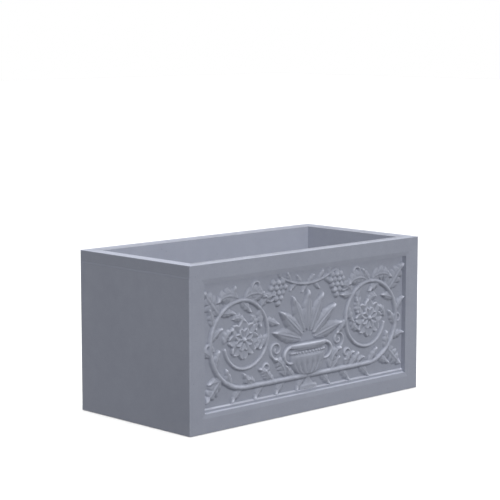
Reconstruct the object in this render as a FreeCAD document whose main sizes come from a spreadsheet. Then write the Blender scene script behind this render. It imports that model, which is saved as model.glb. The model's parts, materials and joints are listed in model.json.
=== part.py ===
import FreeCAD, Part
import math
import os
import re

import Sketcher
from FreeCAD import Placement, Rotation, Vector

# Open-topped rectangular planter of cast stone: four mitred wall panels round a base slab, with an
# ornamental plaque in the framed front. +Z is up, +X runs along the front, which faces -Y, and the
# origin is on the ground under the middle.

SIZES = {
    # Whole planter
    "overall_length": 1200,
    "overall_depth": 600,
    "overall_height": 600,
    "wall": 58,
    "corner_arris": 3,
    "rim_radius": 1.5,
    "rim_fall": 2,
    # Frame and recess of the front wall
    "frame_width": 70,
    "bevel_width": 16,
    "bevel_depth": 1.6,
    "recess_depth": 22,
    # Band set back under the rim of the ends and the back
    "band_height": 40,
    "band_setback": 0.8,
    "band_shoulder": 8,
    # Plaque and its pins
    "plaque_thickness": 10,
    "plaque_gap": 1,
    "pin_diameter": 8,
    "pin_embed": 5,
    "pin_anchor": 10,
    "pin_inset": 70,
    "pin_clearance": 0.2,
    # Relief on the plaque
    "relief_proud": 18,
    "relief_root": 6,
    "footing_height": 18,
    "footing_proud": 10,
    "sill_height": 4,
    "sill_proud": 17,
    "scroll_margin": 62,
    "scroll_side": 40,
    "scroll_drop": 17,
    "stem_radius": 9,
    "eye_radius": 14,
    "petal_length": 48,
    "petal_width": 26,
    "petal_gap": 4,
    "leaf_length": 96,
    "leaf_width": 34,
    "leaf_gap": 8,
    "leaf_margin": 14,
    "fan_leaf_length": 150,
    "fan_leaf_width": 42,
    "fan_start": 40,
    "inner_leaf_length": 76,
    "inner_leaf_width": 30,
    "sprig_length": 66,
    "sprig_width": 22,
    "sprig_pitch": 88,
    "berry_radius": 12,
    "berry_pitch": 28,
    "urn_foot_width": 96,
    "urn_foot_height": 18,
    "urn_neck_width": 34,
    "urn_neck_height": 30,
    "urn_bowl_width": 180,
    "urn_bowl_height": 104,
    "urn_lip_width": 196,
    "urn_lip_height": 16,
    # Splines across the mitres
    "spline_width": 24,
    "spline_thickness": 4,
    "spline_stop": 40,
    "spline_clearance": 0.2,
    # Base slab and its seal
    "base_underside": 70,
    "base_thickness": 45,
    "base_gap": 4,
    "seal_depth": 10,
    # Steel angles
    "steel_thickness": 5,
    "ledger_leg": 50,
    "ledger_stop": 75,
    "ledger_bolt_edge": 60,
    "ledger_bolt_drop": 28,
    "strip_width": 40,
    "strip_thickness": 3,
    "bracket_leg": 60,
    "bracket_height": 60,
    "bracket_bolt_run": 35,
    "bracket_low_rise": 65,
    "bracket_rim_drop": 200,
    # Bolts, washers and cast-in inserts
    "bolt_diameter": 8,
    "bolt_tip_gap": 2,
    "head_across": 13,
    "head_height": 5.3,
    "washer_diameter": 20,
    "washer_thickness": 1.6,
    "bolt_hole_clearance": 0.5,
    "insert_diameter": 14,
    "insert_cover": 6,
    "insert_end": 3,
    "thread_clearance": 0.1,
    "socket_clearance": 0.1,
    # Drains
    "drain_inset": 200,
    "sleeve_bore": 42,
    "sleeve_wall": 4,
    "spigot_wall": 3,
    "spigot_length": 25,
    "sleeve_clearance": 0.3,
    "flange_width": 12,
    "flange_thickness": 4,
    "strainer_lap": 8,
    "strainer_thickness": 3,
    "strainer_clearance": 0.5,
    "skirt_depth": 12,
    "skirt_wall": 2.5,
    "knob_diameter": 9,
    "knob_height": 8,
    "strainer_hole": 4.5,
    "strainer_ring": 26,
    # Foot pads
    "pad_length": 80,
    "pad_width": 36,
    "pad_thickness": 8,
    "pad_lift": 2,
    "pad_inset": 130,
    "pad_clearance": 0.5,
}
STRAINER_HOLES = 10
PETALS = 8
SCROLL_QUARTERS = 5
SPRIGS = 3
INNER_LEAF_ANGLES = (32, 88, 144)
STEM_LEAF_ANGLE = 60
FAN_ANGLES = (-75, -50, -25, 0, 25, 50, 75)
BERRY_ROWS = (3, 2, 1)
LEAVES = {
    "leaf": ("leaf_length", "leaf_width"),
    "fan": ("fan_leaf_length", "fan_leaf_width"),
    "inner": ("inner_leaf_length", "inner_leaf_width"),
    "sprig": ("sprig_length", "sprig_width"),
    "petal": ("petal_length", "petal_width"),
}
# Outlines of the raised forms as shares of their half length and half width, and of the bowl's size
LEAF_EDGE = ((1, 0), (0.55, 0.8), (0, 1), (-0.55, 0.8))
BOWL_EDGE = ((0.4, -0.5), (0.86, -0.3), (1, 0), (0.94, 0.3), (0.84, 0.5))
CREST_LENGTH = 0.72
CREST_WIDTH = 0.4
# How close two places are to count as the same, in millimetres
NEAR = 0.01

# Sizes that follow from the driving ones
HALF_LENGTH = "(overall_length / 2)"
HALF_DEPTH = "(overall_depth / 2)"
INNER_X = "(overall_length / 2 - wall)"
INNER_Y = "(overall_depth / 2 - wall)"
WALL_HEIGHT = "(overall_height - pad_lift)"
RIM_LOW = "(overall_height - rim_fall)"
SLAB_TOP = "(base_underside + base_thickness)"
LEDGER_TOP = "(base_underside - strip_thickness)"
LEDGER_BOLT_Z = "(base_underside - strip_thickness - ledger_bolt_drop)"
BRACKET_LOW_Z = "(base_underside + base_thickness + bracket_low_rise)"
BRACKET_HIGH_Z = "(overall_height - bracket_rim_drop)"
BOLT_HOLE = "(bolt_diameter / 2 + bolt_hole_clearance)"
INSERT_LENGTH = "(wall - recess_depth - plaque_thickness - insert_cover)"
SHANK_LENGTH = f"(washer_thickness + steel_thickness + {INSERT_LENGTH} - insert_end - bolt_tip_gap)"
PLAQUE_HALF = "(overall_length / 2 - frame_width - plaque_gap)"
PLAQUE_LOW = "(frame_width + plaque_gap)"
PLAQUE_HIGH = "(overall_height - frame_width - plaque_gap)"
PLAQUE_MIDDLE = "(overall_height / 2)"
GROUND_Y = "(recess_depth - overall_depth / 2)"
SCROLL_RADIUS = f"({PLAQUE_MIDDLE} - {PLAQUE_LOW} - scroll_margin)"
SCROLL_X = f"({PLAQUE_HALF} - scroll_side - {SCROLL_RADIUS})"
STEM_Z = f"({PLAQUE_LOW} + scroll_margin)"
DRAIN_X = "(overall_length / 2 - wall - drain_inset)"

# Each wall in its own frame faces -Y and is then turned about Z by quarter turns: half its outer
# length, how far its outer face is from the middle, the quarter turns, and where along half of its
# ledger the bolts sit.
WALLS = {
    "front": (HALF_LENGTH, HALF_DEPTH, 0, ("1", "1 / 3")),
    "right": (HALF_DEPTH, HALF_LENGTH, 1, ("1",)),
    "back": (HALF_LENGTH, HALF_DEPTH, 2, ("1", "1 / 3")),
    "left": (HALF_DEPTH, HALF_LENGTH, 3, ("1",)),
}
CORNERS = {
    "front_left": (f"-{INNER_X}", f"-{INNER_Y}", 0),
    "front_right": (INNER_X, f"-{INNER_Y}", 1),
    "back_right": (INNER_X, INNER_Y, 2),
    "back_left": (f"-{INNER_X}", INNER_Y, 3),
}

doc = FreeCAD.newDocument("planter")
dims = doc.addObject("Spreadsheet::Sheet", "dims")
for row, (alias, value) in enumerate(SIZES.items(), start=1):
    dims.set(f"A{row}", alias)
    dims.set(f"B{row}", str(value))
    dims.setAlias(f"B{row}", alias)
doc.recompute()

sub_parts = []


def spelled(text):
    """A formula on size names, spelled out as an expression on the sheet's cells."""
    return re.sub(r"[a-z_]{3,}", lambda word: f"dims.{word[0]}" if word[0] in SIZES else word[0], text)


def value_of(text):
    """The present value of a formula, in millimetres."""
    return float(dims.evalExpression(spelled(text)))


def bind(item, **formulas):
    """Tie properties of an item to formulas."""
    for name, text in formulas.items():
        item.setExpression(name, spelled(text))
    return item


def place(item, x="0", y="0", z="0", turn=Rotation()):
    """Turn an item and tie the place of its own origin to three formulas."""
    item.Placement = Placement(Vector(), turn)
    for axis, text in zip("xyz", (x, y, z)):
        item.setExpression(f"Placement.Base.{axis}", spelled(text))
    return item


def keep(item, label):
    """Name a finished sub-part and list it for writing."""
    item.Label = label
    sub_parts.append(item)
    return item


def quarter_turned(x, y, quarters):
    """A plan point turned about Z by quarter turns."""
    turned = ((x, y), (f"-({y})", x), (f"-({x})", f"-({y})"), (y, f"-({x})"))
    return turned[quarters]


def quarter(quarters):
    """The rotation of so many quarter turns about Z."""
    return Rotation(Vector(0, 0, 1), 90 * quarters)


def box(x, y, z, length, width, height):
    """Plain box from its lowest corner and its three sizes."""
    item = doc.addObject("Part::Box", "box")
    bind(item, Length=length, Width=width, Height=height)
    return place(item, x, y, z)


def cylinder(radius, height):
    """Plain cylinder that stands on the origin."""
    return bind(doc.addObject("Part::Cylinder", "cylinder"), Radius=radius, Height=height)


def cut(base, tool):
    """One solid less another."""
    item = doc.addObject("Part::Cut", "cut")
    item.Base = base
    item.Tool = tool
    return item


def group(items):
    """Separate solids held together as one item."""
    item = doc.addObject("Part::Compound", "group")
    item.Links = items
    return item


def new_sketch(body, plane, lift):
    """Sketch on one of the body's own origin planes, lifted along that plane's normal."""
    sketch = body.newObject("Sketcher::SketchObject", "sketch")
    support = next(item for item in body.Origin.OriginFeatures if item.Role == plane)
    sketch.AttachmentSupport = (support, [""])
    sketch.MapMode = "FlatFace"
    sketch.setExpression("AttachmentOffset.Base.z", spelled(lift))
    return sketch


def tie_size(sketch, constraint, text):
    """Add a constraint and drive it by a formula."""
    index = sketch.addConstraint(constraint)
    sketch.renameConstraint(index, f"size_{index}")
    sketch.setExpression(f"Constraints.size_{index}", spelled(text))


def tie_point(sketch, geometry, end, point):
    """Hold one point of a sketch at two formulas from the sketch's origin."""
    for kind, text in zip(("DistanceX", "DistanceY"), point):
        tie_size(sketch, Sketcher.Constraint(kind, -1, 1, geometry, end, value_of(text)), text)


def outline(body, plane, lift, points):
    """Sketch of a closed outline of straight sides."""
    sketch = new_sketch(body, plane, lift)
    corners = [Vector(value_of(x), value_of(y), 0) for x, y in points]
    following = corners[1:] + corners[:1]
    for start, end in zip(corners, following):
        sketch.addGeometry(Part.LineSegment(start, end), False)
    for side in range(len(points)):
        sketch.addConstraint(Sketcher.Constraint("Coincident", side, 2, (side + 1) % len(points), 1))
    for side, point in enumerate(points):
        tie_point(sketch, side, 1, point)
    return sketch


def circles(body, plane, lift, centres, radius):
    """Sketch of equal circles."""
    sketch = new_sketch(body, plane, lift)
    for index, (x, y) in enumerate(centres):
        centre = Vector(value_of(x), value_of(y), 0)
        sketch.addGeometry(Part.Circle(centre, Vector(0, 0, 1), value_of(radius)), False)
        tie_point(sketch, index, 3, (x, y))
        tie_size(sketch, Sketcher.Constraint("Radius", index, value_of(radius)), radius)
    return sketch


def rectangle(x_low, x_high, y_low, y_high):
    """Corner points of an upright rectangle."""
    return [(x_low, y_low), (x_high, y_low), (x_high, y_high), (x_low, y_high)]


def pad(body, sketch, length, midplane=False):
    """Thicken a sketch into a solid."""
    feature = body.newObject("PartDesign::Pad", "pad")
    feature.Profile = sketch
    feature.Midplane = midplane
    bind(feature, Length=length)
    doc.recompute()
    return feature


def must_cut(body, feature):
    """Recompute and make sure that a cut has taken material away."""
    before = feature.BaseFeature.Shape.Volume
    doc.recompute()
    if body.Shape.Volume >= before:
        raise RuntimeError(f"{feature.Label} in {body.Label} cuts nothing")


def pocket(body, sketch, depth, flip=False, midplane=False):
    """Cut a sketch into a solid."""
    feature = body.newObject("PartDesign::Pocket", "pocket")
    feature.Profile = sketch
    feature.Reversed = flip
    feature.Midplane = midplane
    bind(feature, Length=depth)
    must_cut(body, feature)


def box_cut(body, x, y, z, sizes, turn=Rotation()):
    """Cut a plain, perhaps turned, box out of a solid."""
    feature = body.newObject("PartDesign::SubtractiveBox", "box_cut")
    length, width, height = sizes
    bind(feature, Length=length, Width=width, Height=height)
    place(feature, x, y, z, turn)
    must_cut(body, feature)


def round_edges(body, chosen, radius):
    """Round the edges of the present shape that a test picks out."""
    names = [f"Edge{i}" for i, edge in enumerate(body.Shape.Edges, start=1) if chosen(edge)]
    tip = body.Tip
    feature = body.newObject("PartDesign::Fillet", "fillet")
    feature.Base = (tip, names)
    bind(feature, Radius=radius)
    doc.recompute()


def long_edge_at(height, span):
    """Test for an edge that runs along X at a given height and is longer than a given span."""
    def chosen(edge):
        bounds = edge.BoundBox
        level = abs(bounds.ZMin - height) + abs(bounds.ZMax - height) < NEAR
        return level and bounds.XLength > span and bounds.YLength < NEAR
    return chosen


# Places of the fasteners on a wall's inner face, in the wall's own frame


def bracket_sites(run):
    """Bolts of the corner brackets: one low and one high at each end of the wall."""
    along = f"({run} - wall - bracket_bolt_run)"
    return [(f"{sign}{along}", z) for sign in ("-", "") for z in (BRACKET_LOW_Z, BRACKET_HIGH_Z)]


def ledger_sites(run, shares):
    """Bolts of a ledger, the outermost at a set distance from its ends."""
    along = f"({run} - wall - ledger_stop - ledger_bolt_edge)"
    return [(f"{sign}{along} * {share}", LEDGER_BOLT_Z) for sign in ("-", "") for share in shares]


def pad_sites(name, run):
    """Middles of the foot pads along a wall: three on the long walls, one on the ends."""
    if name in ("front", "back"):
        return {"left": f"-({run} - pad_inset)", "middle": "0", "right": f"({run} - pad_inset)"}
    return {"middle": "0"}


# Wall panels


def mitred_block(body, run, out):
    """Upright slab with mitred ends and a small flat on each outer corner."""
    half = {"outer": f"({run} - corner_arris)", "tip": f"({run} - corner_arris / 2)",
            "inner": f"({run} - wall)"}
    line = {"outer": f"-{out}", "tip": f"(corner_arris / 2 - {out})", "inner": f"(wall - {out})"}
    right = [(half[key], line[key]) for key in ("outer", "tip", "inner")]
    left = [(f"-{half[key]}", line[key]) for key in ("inner", "tip", "outer")]
    pad(body, outline(body, "XY_Plane", "pad_lift", right + left), WALL_HEIGHT)


def cut_rim_band(body, run, out):
    """Set the band under the rim back from the field, with a sloping shoulder below it."""
    face = f"-{out}"
    back = f"(band_setback - {out})"
    line = "(overall_height - band_height)"
    shoulder = "(overall_height - band_height - band_shoulder)"
    over = "(overall_height + band_height)"
    clear = f"(-{out} - band_setback)"
    profile = [(clear, shoulder), (face, shoulder), (back, line), (back, over), (clear, over)]
    pocket(body, outline(body, "YZ_Plane", "0", profile), f"{run} * 4", midplane=True)


def slope_rim(body, run, out, setback):
    """Let the rim fall from the face to the inside, so that rain runs in, and round its edges."""
    face = f"({setback} - {out})"
    inner = f"(wall - {out})"
    clear = f"(wall * 2 - {out})"
    over = "(overall_height + rim_fall)"
    slope = [(face, "overall_height"), (inner, RIM_LOW)]
    profile = slope + [(clear, RIM_LOW), (clear, over), (face, over)]
    pocket(body, outline(body, "YZ_Plane", "0", profile), f"{run} * 4", midplane=True)
    for edge_height in ("overall_height", RIM_LOW):
        round_edges(body, long_edge_at(value_of(edge_height), value_of(run)), "rim_radius")


def cut_front_recess(body, run, out):
    """Cut the plaque's recess, the shallow bevel round it and the holes for its pins."""
    across = f"({run} - frame_width)"
    high = "(overall_height - frame_width)"
    opening = rectangle(f"-{across}", across, "frame_width", high)
    pocket(body, outline(body, "XZ_Plane", out, opening), "recess_depth + plaque_thickness")
    bevel = body.newObject("PartDesign::SubtractiveWedge", "bevel")
    bind(bevel, Ymin=f"-{out}", Ymax=f"bevel_depth - {out}")
    bind(bevel, Xmin=f"-({across} + bevel_width)", Xmax=f"{across} + bevel_width")
    bind(bevel, Zmin="frame_width - bevel_width", Zmax=f"{high} + bevel_width")
    bind(bevel, X2min=f"-{across}", X2max=across, Z2min="frame_width", Z2max=high)
    must_cut(body, bevel)
    floor = f"({out} - recess_depth - plaque_thickness)"
    holes = circles(body, "XZ_Plane", floor, pin_sites(), "pin_diameter / 2 + pin_clearance")
    pocket(body, holes, "pin_anchor + pin_clearance")


def wall_panel(name, run, out, quarters, shares):
    """One wall: mitred slab with its face worked, slots for the splines, sockets and pad seats."""
    body = doc.addObject("PartDesign::Body", f"{name}_wall")
    mitred_block(body, run, out)
    if name == "front":
        cut_front_recess(body, run, out)
    else:
        cut_rim_band(body, run, out)
    slot = ("spline_width + 2 * spline_clearance", "spline_thickness + 2 * spline_clearance",
            f"{WALL_HEIGHT} - spline_stop")
    for side in (-1, 1):
        middle_x = f"({side} * ({run} - wall / 2))"
        x, y = spline_corner(middle_x, f"(wall / 2 - {out})", side, "spline_clearance")
        box_cut(body, x, y, "pad_lift", slot, spline_turn(side))
    sites = bracket_sites(run) + ledger_sites(run, shares)
    sockets = circles(body, "XZ_Plane", f"({out} - wall)", sites, "insert_diameter / 2 + socket_clearance")
    pocket(body, sockets, f"{INSERT_LENGTH} + socket_clearance", flip=True)
    seat = ("pad_length + 2 * pad_clearance", "pad_width + 2 * pad_clearance", "pad_thickness - pad_lift")
    for x in pad_sites(name, run).values():
        corner_x = f"{x} - pad_length / 2 - pad_clearance"
        corner_y = f"(wall - pad_width) / 2 - pad_clearance - {out}"
        box_cut(body, corner_x, corner_y, "pad_lift", seat)
    slope_rim(body, run, out, "0" if name == "front" else "band_setback")
    body.Placement = Placement(Vector(), quarter(quarters))
    label = f"{name}_panel" if name in ("front", "back") else f"{name}_end_panel"
    keep(body, label)


# Splines across the mitres


def spline_turn(side):
    """Rotation that lays a spline square across the mitre at one end of a wall."""
    return Rotation(Vector(0, 0, 1), 45 * side)


def spline_corner(x, y, side, clearance):
    """Lowest corner of a box, centred on a point of the mitre, that is turned by spline_turn."""
    across = f"(spline_width / 2 + {clearance})"
    thick = f"(spline_thickness / 2 + {clearance})"
    turn = "sqrt(2)"
    return (f"{x} - ({across} - {side} * {thick}) / {turn}",
            f"{y} - ({side} * {across} + {thick}) / {turn}")


def corner_splines():
    """Flat bars in the slots of the mitres, from the underside to below the rim."""
    for name, (x, y, quarters) in CORNERS.items():
        side_x = 1 if "right" in name else -1
        side_y = 1 if "back" in name else -1
        middle_x = f"({x} + {side_x} * wall / 2)"
        middle_y = f"({y} + {side_y} * wall / 2)"
        side = -side_x * side_y
        corner_x, corner_y = spline_corner(middle_x, middle_y, side, "0")
        bar = box(corner_x, corner_y, "pad_lift", "spline_width", "spline_thickness",
                  f"{WALL_HEIGHT} - spline_stop - spline_clearance")
        place(bar, corner_x, corner_y, "pad_lift", spline_turn(side))
        keep(bar, f"corner_spline_{name}")


# Plaque and relief


def pin_sites():
    """Places of the plaque's pins on the plan of the front: three along the top, three below."""
    along = f"({PLAQUE_HALF} - pin_inset)"
    levels = (f"({PLAQUE_LOW} + pin_inset)", f"({PLAQUE_HIGH} - pin_inset)")
    return [(x, z) for x in (f"-{along}", "0", along) for z in levels]


def plaque_pins():
    """Pins half in the back of the plaque and half in the front wall."""
    pins = []
    for x, z in pin_sites():
        pin = cylinder("pin_diameter / 2", "pin_embed + pin_anchor")
        place(pin, x, f"{GROUND_Y} + plaque_thickness - pin_embed", z, Rotation(Vector(1, 0, 0), -90))
        pins.append(pin)
    keep(group(pins), "plaque_pins")


def raised_form(points):
    """Form of the relief that slopes from an outline in the ground up to a smaller one in front."""
    body = doc.addObject("PartDesign::Body", "form")
    foot = outline(body, "XZ_Plane", "-relief_root", points)
    crest = outline(body, "XZ_Plane", "relief_proud", [
        (f"({x}) * {CREST_LENGTH}", f"({y}) * {CREST_WIDTH}") for x, y in points])
    loft = body.newObject("PartDesign::AdditiveLoft", "loft")
    loft.Profile = foot
    loft.Sections = [crest]
    loft.Ruled = True
    doc.recompute()
    return body


def leaf_form(length, width):
    """Pointed leaf lying along X, with four straight sides between its tips on each edge."""
    tip = f"({length}) / 2"
    side = f"({width}) / 2"
    upper = [(f"{tip} * {along}", f"{side} * {across}") for along, across in LEAF_EDGE]
    lower = [(f"-({x})", f"-({y})") for x, y in upper]
    return raised_form(upper + lower)


def bowl_form():
    """Bowl of the urn, centred on the origin."""
    half = [(f"urn_bowl_width / 2 * {across}", f"urn_bowl_height * {up}") for across, up in BOWL_EDGE]
    mirrored = [(f"-({x})", z) for x, z in reversed(half)]
    return raised_form(half + mirrored)


def stand(form, x, z, angle=0):
    """Set a form on the ground of the relief, its length turned from level by an angle."""
    return place(group([form]), x, GROUND_Y, z, Rotation(Vector(0, 1, 0), -angle))


def block(x, z, width, height):
    """Upright block of the relief, centred on x and standing on z."""
    return box(f"{x} - ({width}) / 2", f"{GROUND_Y} - relief_proud", z, width,
               "relief_proud + relief_root", height)


def rosette(x, z, petal):
    """Round eye with a ring of petals."""
    eye = bind(doc.addObject("Part::Sphere", "eye"), Radius="eye_radius")
    place(eye, x, f"{GROUND_Y} - (eye_radius - relief_root)", z)
    ring = "(eye_radius + petal_gap + petal_length / 2)"
    petals = []
    for index in range(PETALS):
        angle = 360 / PETALS * index
        across, up = math.cos(math.radians(angle)), math.sin(math.radians(angle))
        petals.append(stand(petal, f"{x} + {ring} * ({across})", f"{z} + {ring} * ({up})", angle))
    return [eye] + petals


def leaf(side, form, x, z, angle):
    """Leaf of the right half of the relief, or its mirror image on the left."""
    return stand(form, f"{side} * ({x})", z, angle if side > 0 else 180 - angle)


def scroll_stem(side):
    """Stem that leaves the urn's foot and winds in quarter arcs of falling radius."""
    lift = f"{GROUND_Y} - (stem_radius - relief_root)"
    start = "(urn_foot_width / 2 + leaf_gap)"
    straight = cylinder("stem_radius", f"{SCROLL_X} - {start}")
    place(straight, f"{side} * {start}", lift, STEM_Z, Rotation(Vector(0, 1, 0), 90 * side))
    forms = [straight]
    x, z = SCROLL_X, PLAQUE_MIDDLE
    steps = ((1, 0), (0, 1), (-1, 0), (0, -1))
    for index in range(SCROLL_QUARTERS):
        arc = doc.addObject("Part::Torus", "arc")
        bind(arc, Radius1=f"{SCROLL_RADIUS} - {index} * scroll_drop", Radius2="stem_radius")
        arc.Angle3 = 90
        wound = 90 - 90 * index if side > 0 else 90 * index - 180
        turn = Rotation(Vector(0, 1, 0), wound) * Rotation(Vector(1, 0, 0), 90)
        forms.append(place(arc, f"{side} * {x}", lift, z, turn))
        step_x, step_z = steps[index % len(steps)]
        x = f"({x} + {step_x} * scroll_drop)"
        z = f"({z} + {step_z} * scroll_drop)"
    return forms


def scroll(side, leaves):
    """Wound stem round a rosette, with leaves inside it, along it and in the plaque's corners."""
    middle_x = f"({SCROLL_X} + scroll_drop / 2)"
    middle_z = f"({PLAQUE_MIDDLE} + scroll_drop / 2)"
    forms = scroll_stem(side) + rosette(f"{side} * {middle_x}", middle_z, leaves["petal"])
    ring = "(eye_radius + petal_gap + petal_length + leaf_gap + inner_leaf_width / 2)"
    for angle in INNER_LEAF_ANGLES:
        across, up = math.cos(math.radians(angle)), math.sin(math.radians(angle))
        forms.append(leaf(side, leaves["inner"], f"{middle_x} + {ring} * ({across})",
                          f"{middle_z} + {ring} * ({up})", angle + 90))
    inset = "(leaf_margin + leaf_length / 2 / sqrt(2))"
    corner_x = f"{PLAQUE_HALF} - {inset}"
    stem_leaf_z = f"{STEM_Z} + stem_radius + leaf_gap + leaf_length / 2"
    for x, z, angle in (
            (corner_x, f"{PLAQUE_HIGH} - {inset}", 45),
            (corner_x, f"{PLAQUE_LOW} + footing_height + {inset}", -45),
            (middle_x, f"{PLAQUE_HIGH} - leaf_margin - leaf_width / 2", 0),
            ("urn_bowl_width / 2 + leaf_length / 2", stem_leaf_z, STEM_LEAF_ANGLE)):
        forms.append(leaf(side, leaves["leaf"], x, z, angle))
    sprig_z = f"({PLAQUE_LOW} + footing_height + {STEM_Z} - stem_radius) / 2"
    for index in range(SPRIGS):
        sprig_x = f"urn_foot_width / 2 + ({index} + 3 / 4) * sprig_pitch"
        forms.append(leaf(side, leaves["sprig"], sprig_x, sprig_z, 0))
    return forms


def urn(leaves):
    """Footed urn at the middle, with a fan of leaves rising out of it."""
    foot_z = f"({PLAQUE_LOW} + footing_height)"
    neck_z = f"({foot_z} + urn_foot_height)"
    bowl_z = f"({neck_z} + urn_neck_height)"
    lip_z = f"({bowl_z} + urn_bowl_height)"
    forms = [
        block("0", foot_z, "urn_foot_width", "urn_foot_height"),
        block("0", neck_z, "urn_neck_width", "urn_neck_height"),
        stand(bowl_form(), "0", f"{bowl_z} + urn_bowl_height / 2"),
        block("0", lip_z, "urn_lip_width", "urn_lip_height"),
    ]
    mouth = f"({lip_z} + urn_lip_height + leaf_gap)"
    reach = "(fan_start + fan_leaf_length / 2)"
    for angle in FAN_ANGLES:
        across, up = math.sin(math.radians(angle)), math.cos(math.radians(angle))
        forms.append(stand(leaves["fan"], f"{reach} * ({across})", f"{mouth} + {reach} * ({up})", 90 - angle))
    return forms


def berries(side):
    """Hanging bunch of berries between the urn and a scroll."""
    forms = []
    top = f"({PLAQUE_HIGH} - scroll_margin / 2)"
    middle = f"({side} * (urn_lip_width / 2 + 2 * berry_pitch))"
    for row, count in enumerate(BERRY_ROWS):
        for place_in_row in range(count):
            berry = bind(doc.addObject("Part::Sphere", "berry"), Radius="berry_radius")
            along = place_in_row - (count - 1) / 2
            place(berry, f"{middle} + {along} * berry_pitch", f"{GROUND_Y} - (berry_radius - relief_root)",
                  f"{top} - {row} * berry_pitch * sqrt(3) / 2")
            forms.append(berry)
    return forms


def relief_plaque():
    """Ornamental panel: flat ground, a stepped footing and the raised forms, cast as one."""
    ground = box(f"-{PLAQUE_HALF}", GROUND_Y, PLAQUE_LOW, f"2 * {PLAQUE_HALF}", "plaque_thickness",
                 f"{PLAQUE_HIGH} - {PLAQUE_LOW}")
    footing = box(f"-{PLAQUE_HALF}", f"{GROUND_Y} - footing_proud", PLAQUE_LOW, f"2 * {PLAQUE_HALF}",
                  "footing_proud + relief_root", "footing_height")
    sill = box(f"-{PLAQUE_HALF}", f"{GROUND_Y} - sill_proud", PLAQUE_LOW, f"2 * {PLAQUE_HALF}",
               "sill_proud + relief_root", "sill_height")
    leaves = {name: leaf_form(length, width) for name, (length, width) in LEAVES.items()}
    forms = [ground, footing, sill] + urn(leaves)
    for side in (-1, 1):
        forms += scroll(side, leaves) + berries(side)
    raised = doc.addObject("Part::MultiFuse", "raised")
    raised.Shapes = forms
    holes = []
    for x, z in pin_sites():
        hole = cylinder("pin_diameter / 2 + pin_clearance", "plaque_thickness")
        place(hole, x, f"{GROUND_Y} + plaque_thickness - pin_embed - pin_clearance", z,
              Rotation(Vector(1, 0, 0), -90))
        holes.append(hole)
    keep(cut(raised, group(holes)), "relief_plaque")


# Steel angles, with the rubber strips that they carry


def ledger(name, run, out, quarters, shares):
    """Angle bolted along a wall, its level leg on top, with the strip that the slab rests on."""
    inner = f"({out} - wall)"
    half = f"({run} - wall - ledger_stop)"
    face = f"-{inner}"
    profile = [
        (face, f"{LEDGER_TOP} - ledger_leg"),
        (f"steel_thickness - {inner}", f"{LEDGER_TOP} - ledger_leg"),
        (f"steel_thickness - {inner}", f"{LEDGER_TOP} - steel_thickness"),
        (f"ledger_leg - {inner}", f"{LEDGER_TOP} - steel_thickness"),
        (f"ledger_leg - {inner}", LEDGER_TOP),
        (face, LEDGER_TOP),
    ]
    body = doc.addObject("PartDesign::Body", f"{name}_angle")
    pad(body, outline(body, "YZ_Plane", "0", profile), f"2 * {half}", midplane=True)
    holes = circles(body, "XZ_Plane", inner, ledger_sites(run, shares), BOLT_HOLE)
    pocket(body, holes, "steel_thickness")
    body.Placement = Placement(Vector(), quarter(quarters))
    keep(body, f"{name}_ledger")
    strip = box(f"-{half}", f"ledger_leg - strip_width - {inner}", LEDGER_TOP, f"2 * {half}", "strip_width",
                "strip_thickness")
    turned = group([strip])
    turned.Placement = Placement(Vector(), quarter(quarters))
    keep(turned, f"{name}_bearing_strip")


def corner_brackets():
    """Angle cleats in the inside corners, a low and a high one in each."""
    body = doc.addObject("PartDesign::Body", "cleat")
    profile = [
        ("0", "0"),
        ("bracket_leg", "0"),
        ("bracket_leg", "steel_thickness"),
        ("steel_thickness", "steel_thickness"),
        ("steel_thickness", "bracket_leg"),
        ("0", "bracket_leg"),
    ]
    pad(body, outline(body, "XY_Plane", "0", profile), "bracket_height", midplane=True)
    centre = [("bracket_bolt_run", "0")]
    pocket(body, circles(body, "XZ_Plane", "0", centre, BOLT_HOLE), "steel_thickness")
    pocket(body, circles(body, "YZ_Plane", "0", centre, BOLT_HOLE), "steel_thickness", flip=True)
    for name, (x, y, quarters) in CORNERS.items():
        for level, z in (("low", BRACKET_LOW_Z), ("high", BRACKET_HIGH_Z)):
            keep(place(group([body]), x, y, z, quarter(quarters)), f"corner_bracket_{name}_{level}")


# Bolts, washers and inserts, made once each with the bolt head's seat at the origin


def one_bolt():
    """Hexagon-headed bolt."""
    head = doc.addObject("Part::Prism", "head")
    head.Polygon = 6
    bind(head, Circumradius="head_across / sqrt(3)", Height="head_height")
    shank = place(cylinder("bolt_diameter / 2", SHANK_LENGTH), z=f"-{SHANK_LENGTH}")
    bolt = doc.addObject("Part::Fuse", "bolt")
    bolt.Base = head
    bolt.Tool = shank
    return bolt


def one_washer():
    """Flat washer under the bolt head."""
    outer = place(cylinder("washer_diameter / 2", "washer_thickness"), z="-washer_thickness")
    hole = place(cylinder(BOLT_HOLE, "washer_thickness"), z="-washer_thickness")
    return cut(outer, hole)


def one_insert():
    """Closed-ended insert, its mouth level with the wall's inner face."""
    mouth = "-(washer_thickness + steel_thickness)"
    shell = place(cylinder("insert_diameter / 2", INSERT_LENGTH), z=f"{mouth} - {INSERT_LENGTH}")
    depth = f"({INSERT_LENGTH} - insert_end)"
    bore = place(cylinder("bolt_diameter / 2 + thread_clearance", depth), z=f"{mouth} - {depth}")
    return cut(shell, bore)


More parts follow.
